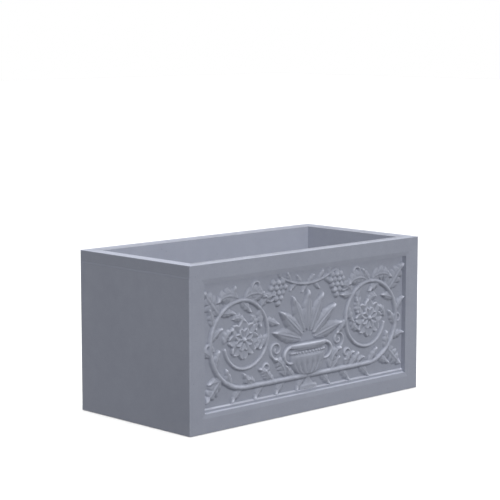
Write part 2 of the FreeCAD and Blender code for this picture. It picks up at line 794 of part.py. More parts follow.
def fasteners():
    """Set a bolt, a washer and an insert at every site of every wall."""
    bolt, washer, insert = one_bolt(), one_washer(), one_insert()
    lists = {name: [] for name in ("bracket_bolts", "bracket_washers", "ledger_bolts", "ledger_washers",
                                   "wall_inserts")}
    for run, out, quarters, shares in WALLS.values():
        seat = f"(wall + steel_thickness + washer_thickness - {out})"
        turn = quarter(quarters) * Rotation(Vector(1, 0, 0), -90)
        for kind, sites in (("bracket", bracket_sites(run)), ("ledger", ledger_sites(run, shares))):
            for along, z in sites:
                x, y = quarter_turned(along, seat, quarters)
                lists[f"{kind}_bolts"].append(place(group([bolt]), x, y, z, turn))
                lists[f"{kind}_washers"].append(place(group([washer]), x, y, z, turn))
                lists["wall_inserts"].append(place(group([insert]), x, y, z, turn))
    for label, items in lists.items():
        keep(group(items), label)


# Base slab, its seal and its drains


def drain_sites():
    """Plan places of the three drains."""
    return {"left": f"-{DRAIN_X}", "middle": "0", "right": DRAIN_X}


def base_slab():
    """Floor of the planter, with counterbored holes for the drain sleeves."""
    body = doc.addObject("PartDesign::Body", "slab")
    half_x = f"({INNER_X} - base_gap)"
    half_y = f"({INNER_Y} - base_gap)"
    plan = rectangle(f"-{half_x}", half_x, f"-{half_y}", half_y)
    pad(body, outline(body, "XY_Plane", "base_underside", plan), "base_thickness")
    centres = [(x, "0") for x in drain_sites().values()]
    through = "sleeve_bore / 2 + sleeve_wall + sleeve_clearance"
    pocket(body, circles(body, "XY_Plane", SLAB_TOP, centres, through), "base_thickness")
    seat = "sleeve_bore / 2 + sleeve_wall + flange_width + sleeve_clearance"
    pocket(body, circles(body, "XY_Plane", SLAB_TOP, centres, seat), "flange_thickness")
    keep(body, "base_slab")


def base_seal():
    """Ring of sealant in the joint between the slab and the walls, level with the slab's top."""
    low = f"{SLAB_TOP} - seal_depth"
    outer = box(f"-{INNER_X}", f"-{INNER_Y}", low, f"2 * {INNER_X}", f"2 * {INNER_Y}", "seal_depth")
    inner = box(f"base_gap - {INNER_X}", f"base_gap - {INNER_Y}", low, f"2 * ({INNER_X} - base_gap)",
                f"2 * ({INNER_Y} - base_gap)", "seal_depth")
    keep(cut(outer, inner), "base_seal")


def turned_body(name, profile):
    """Body turned about the vertical axis from half of its section."""
    body = doc.addObject("PartDesign::Body", name)
    sketch = outline(body, "XZ_Plane", "0", profile)
    feature = body.newObject("PartDesign::Revolution", "revolution")
    feature.Profile = sketch
    feature.ReferenceAxis = (sketch, ["V_Axis"])
    feature.Angle = 360
    doc.recompute()
    return body


def drain_sleeves():
    """Flanged sleeves let into the slab, flanges level with its top, with a hose spigot below."""
    bore = "(sleeve_bore / 2)"
    outside = "(sleeve_bore / 2 + sleeve_wall)"
    rim = "(sleeve_bore / 2 + sleeve_wall + flange_width)"
    spigot = "(sleeve_bore / 2 + spigot_wall)"
    low = "-(base_thickness + spigot_length)"
    sleeve = turned_body("sleeve", [
        (bore, low), (spigot, low), (spigot, "-base_thickness"), (outside, "-base_thickness"),
        (outside, "-flange_thickness"), (rim, "-flange_thickness"), (rim, "0"), (bore, "0")])
    for name, x in drain_sites().items():
        keep(place(group([sleeve]), x, "0", SLAB_TOP), f"drain_sleeve_{name}")


def drain_strainers():
    """Perforated discs with a skirt in the sleeve and a knob to lift them by."""
    plate = "(sleeve_bore / 2 + strainer_lap)"
    skirt = "(sleeve_bore / 2 - strainer_clearance)"
    inside = "(sleeve_bore / 2 - strainer_clearance - skirt_wall)"
    knob = "(knob_diameter / 2)"
    body = turned_body("strainer", [
        ("0", "0"), (inside, "0"), (inside, "-skirt_depth"), (skirt, "-skirt_depth"), (skirt, "0"),
        (plate, "0"), (plate, "strainer_thickness"), (knob, "strainer_thickness"),
        (knob, "strainer_thickness + knob_height"), ("0", "strainer_thickness + knob_height")])
    first = circles(body, "XY_Plane", "0", [("strainer_ring / 2", "0")], "strainer_hole / 2")
    hole = body.newObject("PartDesign::Pocket", "hole")
    hole.Profile = first
    hole.Reversed = True
    bind(hole, Length="strainer_thickness")
    must_cut(body, hole)
    ring = body.newObject("PartDesign::PolarPattern", "ring")
    ring.Originals = [hole]
    ring.Axis = (first, ["N_Axis"])
    ring.Angle = 360
    ring.Occurrences = STRAINER_HOLES
    body.Tip = ring
    doc.recompute()
    for name, x in drain_sites().items():
        keep(place(group([body]), x, "0", SLAB_TOP), f"drain_strainer_{name}")


def foot_pads():
    """Rubber pads in seats under the walls, standing a little proud of them."""
    for name, (run, out, quarters, _) in WALLS.items():
        for spot, x in pad_sites(name, run).items():
            rubber = box(f"{x} - pad_length / 2", f"(wall - pad_width) / 2 - {out}", "0", "pad_length",
                         "pad_width", "pad_thickness")
            turned = group([rubber])
            turned.Placement = Placement(Vector(), quarter(quarters))
            keep(turned, f"foot_pad_{name}_{spot}")


def check_and_write():
    """Stop at any failed object or bad shape, then write one file for each sub-part."""
    doc.recompute()
    failed = [item.Label for item in doc.Objects if {"Invalid", "Error"} & set(item.State)]
    if failed:
        raise RuntimeError(f"failed objects: {failed}")
    for item in sub_parts:
        if item.Shape.isNull() or not item.Shape.isValid() or item.Shape.Volume <= 0:
            raise RuntimeError(f"bad shape: {item.Label}")
    os.makedirs("parts", exist_ok=True)
    for item in sub_parts:
        item.Shape.exportStep(f"parts/{item.Label}.step")
        print(f"{item.Label}: {len(item.Shape.Solids)} solid(s), {item.Shape.Volume / 1000:.1f} cm3")


for wall_name, wall_values in WALLS.items():
    wall_panel(wall_name, *wall_values)
    ledger(wall_name, *wall_values)
corner_splines()
relief_plaque()
plaque_pins()
corner_brackets()
fasteners()
base_slab()
base_seal()
drain_sleeves()
drain_strainers()
foot_pads()
check_and_write()
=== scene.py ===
# %% [markdown]
# # A cast-stone planter
# The planter is a long open box made of four stone walls that meet in mitred corners. The front
# wall is a plain frame round a sunk panel of raised ornament; the ends and the back have a shallow
# band under the rim. The solid model already gives every piece its size and its place, so this
# notebook only adds what a solid model leaves out: the modelled detail of the ornament, the finer
# shapes of the fastenings and the surface of each material.

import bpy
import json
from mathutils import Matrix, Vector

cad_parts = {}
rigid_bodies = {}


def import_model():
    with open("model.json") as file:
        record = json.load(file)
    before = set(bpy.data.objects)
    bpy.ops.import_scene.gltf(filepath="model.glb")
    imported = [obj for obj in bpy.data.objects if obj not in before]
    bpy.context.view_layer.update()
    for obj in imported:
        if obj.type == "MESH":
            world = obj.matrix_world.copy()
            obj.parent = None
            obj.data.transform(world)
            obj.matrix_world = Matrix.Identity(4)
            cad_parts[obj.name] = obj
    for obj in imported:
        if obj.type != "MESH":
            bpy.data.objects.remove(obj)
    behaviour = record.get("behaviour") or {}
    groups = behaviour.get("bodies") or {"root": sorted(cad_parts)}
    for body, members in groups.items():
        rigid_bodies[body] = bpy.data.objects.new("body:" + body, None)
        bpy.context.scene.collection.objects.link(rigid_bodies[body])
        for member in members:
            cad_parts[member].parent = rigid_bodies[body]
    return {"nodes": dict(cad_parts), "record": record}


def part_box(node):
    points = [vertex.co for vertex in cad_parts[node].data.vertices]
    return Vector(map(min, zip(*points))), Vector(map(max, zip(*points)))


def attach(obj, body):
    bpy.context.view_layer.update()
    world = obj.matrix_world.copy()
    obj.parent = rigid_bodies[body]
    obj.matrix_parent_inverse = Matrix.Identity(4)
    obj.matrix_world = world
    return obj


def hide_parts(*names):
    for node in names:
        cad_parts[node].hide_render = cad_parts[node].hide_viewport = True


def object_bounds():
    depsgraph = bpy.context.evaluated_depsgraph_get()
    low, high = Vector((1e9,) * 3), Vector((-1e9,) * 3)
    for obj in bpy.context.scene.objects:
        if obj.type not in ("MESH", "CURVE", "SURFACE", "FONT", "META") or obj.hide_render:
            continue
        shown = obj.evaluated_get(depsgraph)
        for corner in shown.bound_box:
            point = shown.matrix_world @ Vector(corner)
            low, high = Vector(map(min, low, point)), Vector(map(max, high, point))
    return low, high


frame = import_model()
cad_box = [list(corner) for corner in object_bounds()]

import functools
import json
import math

import bmesh
import bpy
import numpy as np
from mathutils import Matrix, Vector

MM = 0.001
scene = bpy.context.scene
nodes = frame["nodes"]
slot_of = {part["node"]: part["material_slot"] for part in frame["record"]["subparts"]}

# %% [markdown]
# ## Where the picture is taken from
# The seven corners of the box that show in the picture fix the camera. Solving for the eye, the
# view line and the lens at once leaves a fifth of a pixel of error, which is closer than placing a
# camera by eye could be.

# %% Camera
LENS = 123.791
EYE = Vector((-4.4902, -4.6292, 1.4213))
AIM = Vector((-1.1344, -1.1517, 0.7852))

camera = bpy.data.objects.new("camera", bpy.data.cameras.new("camera"))
camera.data.lens = LENS
camera.location = EYE
camera.rotation_euler = (AIM - EYE).to_track_quat("-Z", "Y").to_euler()
scene.collection.objects.link(camera)
scene.camera = camera
scene.view_settings.view_transform = "Standard"
print(f"camera at {camera.location[:]} with a {LENS} mm lens")

# %% [markdown]
# ## A socket that can be added and multiplied
# Materials and Geometry Nodes are both made of nodes, and a formula soon becomes a heap of lines
# that create and join them. Wrapping a node's output in a small class lets Python's own operators
# add the Math nodes, so that a mask reads like the formula it is. Every other kind of node comes
# from the one method `node`.


# %% Node arithmetic
class Wire:
    """An output of a node. Arithmetic on it adds Math nodes to the same tree."""

    def __init__(self, tree, socket=None):
        self.tree = tree
        self.socket = socket

    def node(self, kind, settings=None, sockets=None, out=0):
        """Add a node: its settings first, then the values or links of its sockets."""
        made = self.tree.nodes.new(kind)
        for name, value in (settings or {}).items():
            setattr(made, name, value)
        for key, value in (sockets or {}).items():
            self.feed(made.inputs[key], value)
        return Wire(self.tree, made.outputs[out] if made.outputs else None)

    def feed(self, socket, value):
        """Link a wire to a socket, or set a plain value on it."""
        if isinstance(value, Wire):
            self.tree.links.new(value.socket, socket)
        else:
            socket.default_value = value

    def output(self, name):
        """Another output of the same node."""
        return Wire(self.tree, self.socket.node.outputs[name])

    def math(self, operation, *values):
        return self.node("ShaderNodeMath", {"operation": operation}, dict(enumerate(values)))

    def __add__(self, other):
        return self.math("ADD", self, other)

    def __radd__(self, other):
        return self.math("ADD", other, self)

    def __sub__(self, other):
        return self.math("SUBTRACT", self, other)

    def __rsub__(self, other):
        return self.math("SUBTRACT", other, self)

    def __mul__(self, other):
        return self.math("MULTIPLY", self, other)

    def __rmul__(self, other):
        return self.math("MULTIPLY", other, self)

    def __abs__(self):
        return self.math("ABSOLUTE", self)

    def least(self, other):
        return self.math("MINIMUM", self, other)

    def most(self, other):
        return self.math("MAXIMUM", self, other)

    def ramp(self, low, high):
        """0 below low, 1 above high, and a smooth step between them."""
        return self.node("ShaderNodeMapRange", {"interpolation_type": "SMOOTHSTEP"},
                         {0: self, 1: low, 2: high})

    def blend(self, first, second):
        """A colour between two, with this wire as the share of the second."""
        return self.node("ShaderNodeMix", {"data_type": "RGBA"}, {0: self, 6: first, 7: second}, out=2)


def colour(red, green, blue):
    """A colour written in the usual 0 to 255, as the linear values that Blender works in."""
    def linear(value):
        share = value / 255
        return share / 12.92 if share <= 0.04045 else ((share + 0.055) / 1.055) ** 2.4
    return (linear(red), linear(green), linear(blue), 1.0)


WHITE = colour(255, 255, 255)
print("node arithmetic ready")

# %% [markdown]
# ## Studio light
# The picture has no hard shadow anywhere: every face has one even tone that depends only on the way
# it faces, brightest on the rim and darkest on the near end. A photographer gets there with one
# large lamp overhead and several weak fills that cancel each other's shadows. Here the overhead
# lamp casts the only shadow, softly and straight down, and the fills are told to cast none. Suns
# are used because their light is the same all over a wall, where an area lamp close by would
# leave a hot spot.

# %% Lamps and world
WORLD_LIGHT = 0.28
KEY = "overhead"
# where each lamp stands, its strength, and its width in degrees
LAMPS = {
    KEY: ((0.0, -0.02, 1.0), 3.10, 20),
    "high_front": ((0.0, -0.64, 0.77), 1.35, 40),
    "front": ((0.0, -1.0, 0.10), 0.55, 12),
    "left": ((-1.0, -0.65, 0.30), 1.09, 30),
    "right": ((1.0, 0.0, 0.21), 1.18, 40),
    "back": ((0.0, 1.0, 0.21), 1.18, 40),
}

for name, (towards, strength, width) in LAMPS.items():
    lamp = bpy.data.lights.new(name, "SUN")
    lamp.energy = strength
    lamp.angle = math.radians(width)
    lamp.use_shadow = name == KEY
    holder = bpy.data.objects.new(name, lamp)
    holder.rotation_euler = Vector(towards).to_track_quat("Z", "Y").to_euler()
    scene.collection.objects.link(holder)


def seen_directly(start):
    """1 for what the camera sees, by itself or in a reflection, and 0 for light on its way."""
    path = start.node("ShaderNodeLightPath")
    seen = path.output("Is Camera Ray") + path.output("Is Glossy Ray")
    return (seen + path.output("Is Transmission Ray")).least(1.0)


world = bpy.data.worlds.new("studio")
world.use_nodes = True
world.node_tree.nodes.clear()
scene.world = world
air = Wire(world.node_tree)
lighting = air.node("ShaderNodeBackground", sockets={"Color": WHITE, "Strength": WORLD_LIGHT})
backdrop = air.node("ShaderNodeBackground", sockets={"Color": WHITE, "Strength": 1.0})
sky = air.node("ShaderNodeMixShader", sockets={0: seen_directly(air), 1: lighting, 2: backdrop})
air.node("ShaderNodeOutputWorld", sockets={"Surface": sky})
print(f"{len(LAMPS)} lamps, world light {WORLD_LIGHT}")

# %% [markdown]
# ## Floor
# The picture's background is plain white. A floor that is pale to the camera but nearly black to
# the light gives that white and keeps the planter's own soft shadow, yet throws no light back up,
# which would take the shade off the walls.

# %% Floor
FLOOR_SIZE = 60.0
FLOOR_SEEN = 0.72
FLOOR_BOUNCE = 0.02


def new_finish(name, constants):
    """A new material: itself, a start for its nodes, and its shader's sockets, some of them set."""
    material = bpy.data.materials.new(name)
    material.use_nodes = True
    sockets = material.node_tree.nodes["Principled BSDF"].inputs
    for label, value in constants.items():
        sockets[label].default_value = value
    return material, Wire(material.node_tree), sockets


def grey(level):
    """A colour without a hue, from a linear level."""
    return (level, level, level, 1.0)


floor_paint, start, sockets = new_finish("floor_paint", {"Roughness": 0.9, "Specular IOR Level": 0.0})
start.feed(sockets["Base Color"], seen_directly(start).blend(grey(FLOOR_BOUNCE), grey(FLOOR_SEEN)))
half = FLOOR_SIZE / 2
corners = [(-half, -half, 0), (half, -half, 0), (half, half, 0), (-half, half, 0)]
floor_mesh = bpy.data.meshes.new("floor")
floor_mesh.from_pydata(corners, [], [(0, 1, 2, 3)])
floor_mesh.materials.append(floor_paint)
floor = bpy.data.objects.new("floor", floor_mesh)
scene.collection.objects.link(floor)
print(f"floor {FLOOR_SIZE} m wide")

# %% [markdown]
# ## Cast stone
# The walls are cast in smooth moulds from a fine pale-cement mix, so the surface is matte and
# even: soft clouds of lighter and darker blue-grey where the mix dried at different rates, a fine
# sandy grain, and a scatter of pinholes where air bubbles met the mould. A photograph of stone
# wrapped round the box would stretch or repeat; a pattern worked out from the piece's own
# coordinates keeps its scale on every wall and runs on round the corners.


# %% Textures that the finishes share
def noise(place, size, detail=3.0, roughness=0.5):
    """Soft noise from 0 to 1 whose patches are about one size across, in metres."""
    return place.node("ShaderNodeTexNoise", sockets={
        "Vector": place, "Scale": 1 / size, "Detail": detail, "Roughness": roughness})


def cells(place, size):
    """Irregular cells about one size across: the distance from each one's middle, in cells."""
    return place.node("ShaderNodeTexVoronoi", sockets={"Vector": place, "Scale": 1 / size})


def parts_of(vector):
    """The three numbers of a vector or a colour."""
    split = vector.node("ShaderNodeSeparateXYZ", sockets={0: vector})
    return [split.output(name) for name in "XYZ"]


def bump(height, depth, strength=1.0):
    """A normal that follows a height from 0 to 1, with a depth in metres."""
    return height.node("ShaderNodeBump", sockets={
        "Strength": strength, "Distance": depth, "Height": height}, out="Normal")


def finish(name, surface, constants):
    """A material whose colour, roughness and normal a function works out from the place."""
    material, start, sockets = new_finish(name, constants)
    place = start.node("ShaderNodeTexCoord", out="Object")
    for label, value in zip(("Base Color", "Roughness", "Normal"), surface(place)):
        start.feed(sockets[label], value)
    return material


print("textures ready")

# %% Tone and pinholes of the stone
# patch size in metres, detail, roughness, and how much it moves the tone
STONE_TONES = {
    "clouds": (0.42, 4.0, 0.55, 0.24),
    "mottling": (0.045, 4.0, 0.60, 0.20),
    "grain": (0.0022, 2.0, 0.50, 0.30),
}
PIT_SPACING = 11 * MM
# least radius and how much more the widest have, in shares of the spacing
PIT_LEAST = 0.05
PIT_MORE = 0.12


def stone_tone(place):
    """How pale the stone is, from clouds, mottling and grain: about 0.5 everywhere."""
    tone = 0.5
    for size, detail, roughness, share in STONE_TONES.values():
        tone = tone + (noise(place, size, detail, roughness) - 0.5) * share
    return tone


def pinholes(place, share):
    """Small round pits in a share of the cells: 1 in a pit, 0 elsewhere."""
    cell = cells(place, PIT_SPACING)
    chance, width, _ = parts_of(cell.output("Color"))
    chosen = chance.ramp(1 - share, 1 - share + 0.02)
    return chosen * (1 - (cell - (width * PIT_MORE + PIT_LEAST)).ramp(-0.04, 0.03))


print(f"{len(STONE_TONES)} tones of stone, pinholes {PIT_SPACING / MM:.0f} mm apart")

# %% A stone finish that takes its own kind of wear or painted light
STONE_PALE = colour(157, 161, 174)
# ends of the tone range; the dark one is also mixed in as painted shade, the bloom one also as painted
# highlight and painted light
STONE_DARK_AND_SHADE = colour(125, 129, 142)
STONE_BLOOM_AND_HIGHLIGHT = colour(178, 182, 195)
STONE_GLOSS = 0.3
GRIT = 1.4 * MM
GRIT_DEPTH = 0.7 * MM
BLOOM_PATCH = 160 * MM
BLOOM_SHARE = 0.07
# painted shade: how high above the ground the stone is painted darker, and how strongly
LOW_SHADE_TOP = 500 * MM
LOW_SHADE_SHARE = 0.18
PIT_SHADE = colour(92, 95, 104)
PIT_DARKNESS = 0.45


def stone_finish(name, marks, pit_share):
    """Matte cast stone: clouds, bloom, painted shade that darkens it towards the bottom, pinholes, and
    what the function given to it adds.
    """
    def surface(place):
        tone = stone_tone(place)
        pits = pinholes(place, pit_share)
        bloom = noise(place, BLOOM_PATCH, detail=5.0, roughness=0.65).ramp(0.56, 0.78)
        # painted shade: the stone is mixed darker towards the bottom of every piece
        low_shade = 1 - parts_of(place)[2].ramp(0.0, LOW_SHADE_TOP)
        face = tone.ramp(0.05, 0.95).blend(STONE_DARK_AND_SHADE, STONE_PALE)
        face = (bloom * BLOOM_SHARE).blend(face, STONE_BLOOM_AND_HIGHLIGHT)
        face = (low_shade * LOW_SHADE_SHARE).blend(face, STONE_DARK_AND_SHADE)
        face = (pits * PIT_DARKNESS).blend(marks(place, face), PIT_SHADE)
        roughness = 0.78 + (tone - 0.5) * 0.16 + pits * 0.1
        relief = tone * 0.5 + noise(place, GRIT, detail=2.0) * 0.25 - pits * 0.8
        return face, roughness, bump(relief, GRIT_DEPTH, 0.6)

    return finish(name, surface, {"Specular IOR Level": STONE_GLOSS})


print("stone finish ready")

# %% [markdown]
# ## Wear and painted light of the walls, and stains of the slab
# Stone that stands outdoors doesn't wear evenly. Arrises are rubbed a little paler, and the joint at each
# corner shows as a thin dark line. Painted shade darkens the band of the ends and the back, and more
# its shoulder, and patches of painted shade dim the rim except on the left end; the inner faces are
# painted a little paler, as painted light. One could paint all that by hand; a mask worked out from
# the distance to each edge does the same and moves with the sizes.

# %% Distances to the edges of the walls
HALF_LENGTH, HALF_DEPTH, HEIGHT = cad_box[1]
# the sealant reaches from the slab to the inner face of the walls
WALL = HALF_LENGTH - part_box("base_seal")[1].x
# the plaque is bedded in the recess of the front wall with a little room round it
panel_low, panel_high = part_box("relief_plaque")
BEDDING = 1 * MM
FRAME_INSET = HALF_LENGTH - panel_high.x - BEDDING
RECESS_EASE = 3 * MM


def from_outside(place):
    """Distance of a point from the outer face of the nearest end and of the nearest long wall."""
    x, y, _ = parts_of(place)
    return HALF_LENGTH - abs(x), HALF_DEPTH - abs(y)


def edge_distances(place):
    """Distance to the nearest arris of the walls and to the nearest corner joint, in metres."""
    x, y, z = parts_of(place)
    side_x, side_y = from_outside(place)
    below_rim = HEIGHT - z
    outer = side_x.least(side_y).most(side_x.most(side_y).least(below_rim))
    inner = below_rim.most(abs(side_x.least(side_y) - WALL))
    past_side = abs(x) - (HALF_LENGTH - FRAME_INSET)
    past_rail = abs(z - HEIGHT / 2) - (HEIGHT / 2 - FRAME_INSET)
    recess = abs(past_side.most(past_rail)).most(y + HALF_DEPTH) + RECESS_EASE
    return outer.least(inner).least(recess), abs(side_x - side_y)


print(f"wall {WALL / MM:.0f} mm thick, frame {FRAME_INSET / MM:.0f} mm wide, rim {HEIGHT:.4f} m up")

# %% Painted shade on the band and the rim, painted light on the inner faces
BLUR = 1 * MM
BAND_HEIGHT = 40 * MM
BAND_SKIN = 4 * MM
SHOULDER = 8 * MM
SHADE_EDGE = 3 * MM
RIM_FADE = (3 * MM, 5 * MM)
# patch size of the soil on the slab and of the painted shade on the rim
SOIL_AND_RIM_SHADE_PATCH = 50 * MM
RIM_SHADE_REACH = 2.6 * WALL
# how much of each painted shade and painted light shows
BAND_SHADE = 0.20
SHOULDER_SHADE = 0.55
RIM_SHADE_EVEN = 0.12
RIM_SHADE_PATCHES = 0.50
LEFT_END_SPARED = 0.8
INNER_LIGHT_SHARE = 0.12


def band_painted_shade(place):
    """Share of painted shade on the band of the ends and the back, and more along its shoulder."""
    x, y, z = parts_of(place)
    past_ends = abs(x) - (HALF_LENGTH - BAND_SKIN)
    outside = past_ends.most(y - (HALF_DEPTH - BAND_SKIN)).ramp(-BLUR, BLUR)
    below_band = HEIGHT - z - BAND_HEIGHT
    on_band = 1 - below_band.ramp(-BLUR, BLUR)
    past_shoulder = below_band.ramp(SHOULDER - BLUR, SHOULDER + SHADE_EDGE)
    on_shoulder = below_band.ramp(-SHADE_EDGE, 0.0) * (1 - past_shoulder)
    # painted shade: the band and its shoulder are mixed towards the dark stone colour
    return outside * (on_band * BAND_SHADE).most(on_shoulder * SHOULDER_SHADE)


def rim_painted_shade(place):
    """Share of painted shade on the rim: an even film and patches along its inside, mostly left off the
    left end, which stays brighter.
    """
    x, _, z = parts_of(place)
    side_x, side_y = from_outside(place)
    on_top = 1 - (HEIGHT - z).ramp(*RIM_FADE)
    left_end_rim = 1 - (x + HALF_LENGTH - side_y).ramp(-BLUR, BLUR)
    patches = (noise(place, SOIL_AND_RIM_SHADE_PATCH, detail=5.0, roughness=0.65) - 0.5) * RIM_SHADE_REACH
    shade_patches = (side_x.least(side_y) + patches).ramp(0.0, WALL)
    # painted shade on the rim, patchy towards its inside and mostly left off the left end
    return on_top * (RIM_SHADE_EVEN + shade_patches * RIM_SHADE_PATCHES) * (1 - left_end_rim * LEFT_END_SPARED)


def inner_painted_light(place):
    """Share of painted light on the inner faces of the walls: they are painted paler."""
    side_x, side_y = from_outside(place)
    return (side_x.least(side_y) - WALL).ramp(-2 * BLUR, -BLUR) * INNER_LIGHT_SHARE


print(f"band {BAND_HEIGHT / MM:.0f} mm high, patches of soil {SOIL_AND_RIM_SHADE_PATCH / MM:.0f} mm across")

# %% Wear and painted light of the walls
# colour of the painted shade on the rim
RIM_SHADE = colour(112, 114, 122)
ARRIS = 5 * MM
ARRIS_PATCH = 12 * MM
ARRIS_WANDER = 8 * MM
JOINT = (0.4 * MM, 1.1 * MM)
RUBBED = 0.25
JOINT_DIRT = 0.6


def wall_wear_and_painted_light(place, face):
    """Painted shade on the band and the rim, painted light on the inner faces, paler worn arrises, and a
    line at each corner joint.
    """
    arris, corner = edge_distances(place)
    uneven = (noise(place, ARRIS_PATCH) - 0.5) * ARRIS_WANDER
    worn = 1 - (arris + uneven).ramp(0.0, ARRIS)
    joint = 1 - corner.ramp(*JOINT)
    # painted light: the inner faces are mixed paler
    face = inner_painted_light(place).blend(face, STONE_BLOOM_AND_HIGHLIGHT)
    face = band_painted_shade(place).blend(face, STONE_DARK_AND_SHADE)
    face = rim_painted_shade(place).blend(face, RIM_SHADE)
    face = (worn * RUBBED).blend(face, STONE_BLOOM_AND_HIGHLIGHT)
    return (joint * JOINT_DIRT).blend(face, STONE_DARK_AND_SHADE)


wall_stone = stone_finish("wall_stone", wall_wear_and_painted_light, pit_share=0.10)
print(f"wall stone of {len(wall_stone.node_tree.nodes)} nodes")

# %% Stains on the slab
DAMP = colour(104, 103, 104)
SOIL = colour(92, 84, 76)
DAMP_PATCH = 110 * MM
DAMP_LEAST = 0.35
DAMP_MORE = 0.45
SOIL_SPREAD = 160 * MM
SOIL_SHARE = 0.55
sleeve_boxes = [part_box(name) for name in nodes if name.startswith("drain_sleeve")]
drains = [(low + high) / 2 for low, high in sleeve_boxes]


def slab_wear(place, face):
    """Damp patches all over the slab, and soil that rain has washed towards the drains."""
    x, y, _ = parts_of(place)
    damp = noise(place, DAMP_PATCH, detail=5.0, roughness=0.6).ramp(0.35, 0.65)
    face = (DAMP_LEAST + damp * DAMP_MORE).blend(face, DAMP)
    away = [(abs(x - drain.x) * 0.8).most(abs(y - drain.y)) for drain in drains]
    uneven = (noise(place, SOIL_AND_RIM_SHADE_PATCH, detail=5.0, roughness=0.7) - 0.5) * SOIL_SPREAD
    washed = 1 - (functools.reduce(Wire.least, away) + uneven).ramp(0.0, SOIL_SPREAD)
    return (washed * SOIL_SHARE).blend(face, SOIL)


slab_stone = stone_finish("slab_stone", slab_wear, pit_share=0.35)
print(f"slab stone stained round {len(drains)} drains")

# %% [markdown]
# ## Metal, rubber and plastic
# These only show when someone looks into the planter or under it, but they tell what holds it
# together. Hot-dip zinc freezes in crystals, so the angles have a patchwork of paler and darker
# flakes. The bolts are bright plated steel, the pads and strips black rubber with a little dust,
# and the drain fittings grey moulded plastic with a fine grain.

# %% Zinc and plated steel
METAL = {"Metallic": 1.0}
ZINC_DARK = colour(146, 150, 154)
ZINC_PALE = colour(200, 203, 206)
ZINC_BLOOM = colour(214, 216, 217)
PLATE_COOL = colour(186, 188, 192)
PLATE_WARM = colour(196, 190, 172)


def zinc(place):
    """Galvanised steel: crystals of zinc about a centimetre across, and a pale bloom on some."""
    flake = cells(place, 11 * MM)
    shade, dullness, _ = parts_of(flake.output("Color"))
    bloom = noise(place, 50 * MM, detail=4.0).ramp(0.58, 0.72)
    face = (bloom * 0.5).blend(shade.blend(ZINC_DARK, ZINC_PALE), ZINC_BLOOM)
    roughness = 0.34 + dullness * 0.2 + bloom * 0.15
    return face, roughness, bump(noise(place, 4 * MM) * 0.4 + shade * 0.3, 0.3 * MM)


def plating(place):
    """Bright plated steel with faint warm patches and fine wear."""
    face = noise(place, 6 * MM).ramp(0.4, 0.7).blend(PLATE_COOL, PLATE_WARM)
    roughness = 0.24 + noise(place, 1.6 * MM) * 0.2
    return face, roughness, bump(noise(place, 1.2 * MM), 0.1 * MM)


FINISHES = {
    "cast_stone": wall_stone,
    "galvanised_steel": finish("galvanised_steel", zinc, METAL),
    "bright_steel": finish("bright_steel", plating, METAL),
}
print(f"{len(FINISHES)} finishes so far")

# %% Rubber and plastic
RUBBER_DARK = colour(30, 30, 32)
RUBBER_PALE = colour(50, 50, 52)
RUBBER_DUST = colour(108, 106, 102)
PLASTIC_DARK = colour(84, 88, 93)
PLASTIC_PALE = colour(100, 104, 109)
PLASTIC_SCUFF = colour(136, 139, 142)


def rubber(place):
    """Black rubber with a fine moulded skin and a thin, patchy film of dust."""
    body = noise(place, 20 * MM, detail=4.0).blend(RUBBER_DARK, RUBBER_PALE)
    dust = noise(place, 12 * MM, detail=5.0, roughness=0.7).ramp(0.5, 0.8)
    face = (dust * 0.3).blend(body, RUBBER_DUST)
    return face, 0.7 + dust * 0.2, bump(noise(place, 1 * MM, detail=2.0), 0.2 * MM, 0.7)


def plastic(place):
    """Grey moulded plastic with a fine spark grain and soft scuffs."""
    body = noise(place, 30 * MM).blend(PLASTIC_DARK, PLASTIC_PALE)
    scuff = noise(place, 8 * MM, detail=5.0, roughness=0.7).ramp(0.55, 0.75)
    face = (scuff * 0.2).blend(body, PLASTIC_SCUFF)
    return face, 0.42 + scuff * 0.25, bump(noise(place, 0.9 * MM), 0.15 * MM, 0.6)


FINISHES["black_rubber"] = finish("black_rubber", rubber, {"Specular IOR Level": 0.35})
FINISHES["grey_plastic"] = finish("grey_plastic", plastic, {"Specular IOR Level": 0.45})
for name, piece in nodes.items():
    if slot_of[name] in FINISHES:
        piece.data.materials.clear()
        piece.data.materials.append(slab_stone if name == "base_slab" else FINISHES[slot_of[name]])
print({slot: sum(1 for name in nodes if slot_of[name] == slot) for slot in FINISHES})

# %% [markdown]
# ## Trees of Geometry Nodes
# A tree is a recipe that Blender can run on any object: it has named inputs, like a function. The
# first helpers below start a tree with its inputs and finish it with Realize Instances and Set
# Material; another runs a tree once and keeps the result as a plain mesh, which is what an export
# can carry. The short ones after them add the nodes that most of the trees here need.


# %% Start, close and run a tree
def new_tree(name, inputs):
    """An empty tree with a geometry input and the named inputs of the given kinds."""
    tree = bpy.data.node_groups.new(name, "GeometryNodeTree")
    tree.interface.new_socket("Geometry", in_out="INPUT", socket_type="NodeSocketGeometry")
    for label, kind in inputs.items():
        tree.interface.new_socket(label, in_out="INPUT", socket_type=f"NodeSocket{kind}")
    tree.interface.new_socket("Geometry", in_out="OUTPUT", socket_type="NodeSocketGeometry")
    return Wire(tree).node("NodeGroupInput")


def close_tree(start, shape):
    """End a tree: real geometry with the tree's own material on it."""
    real = start.node("GeometryNodeRealizeInstances", sockets={0: shape})
    painted = start.node("GeometryNodeSetMaterial", sockets={
        "Geometry": real, "Material": start.output("Finish")})
    start.node("NodeGroupOutput", sockets={0: painted})


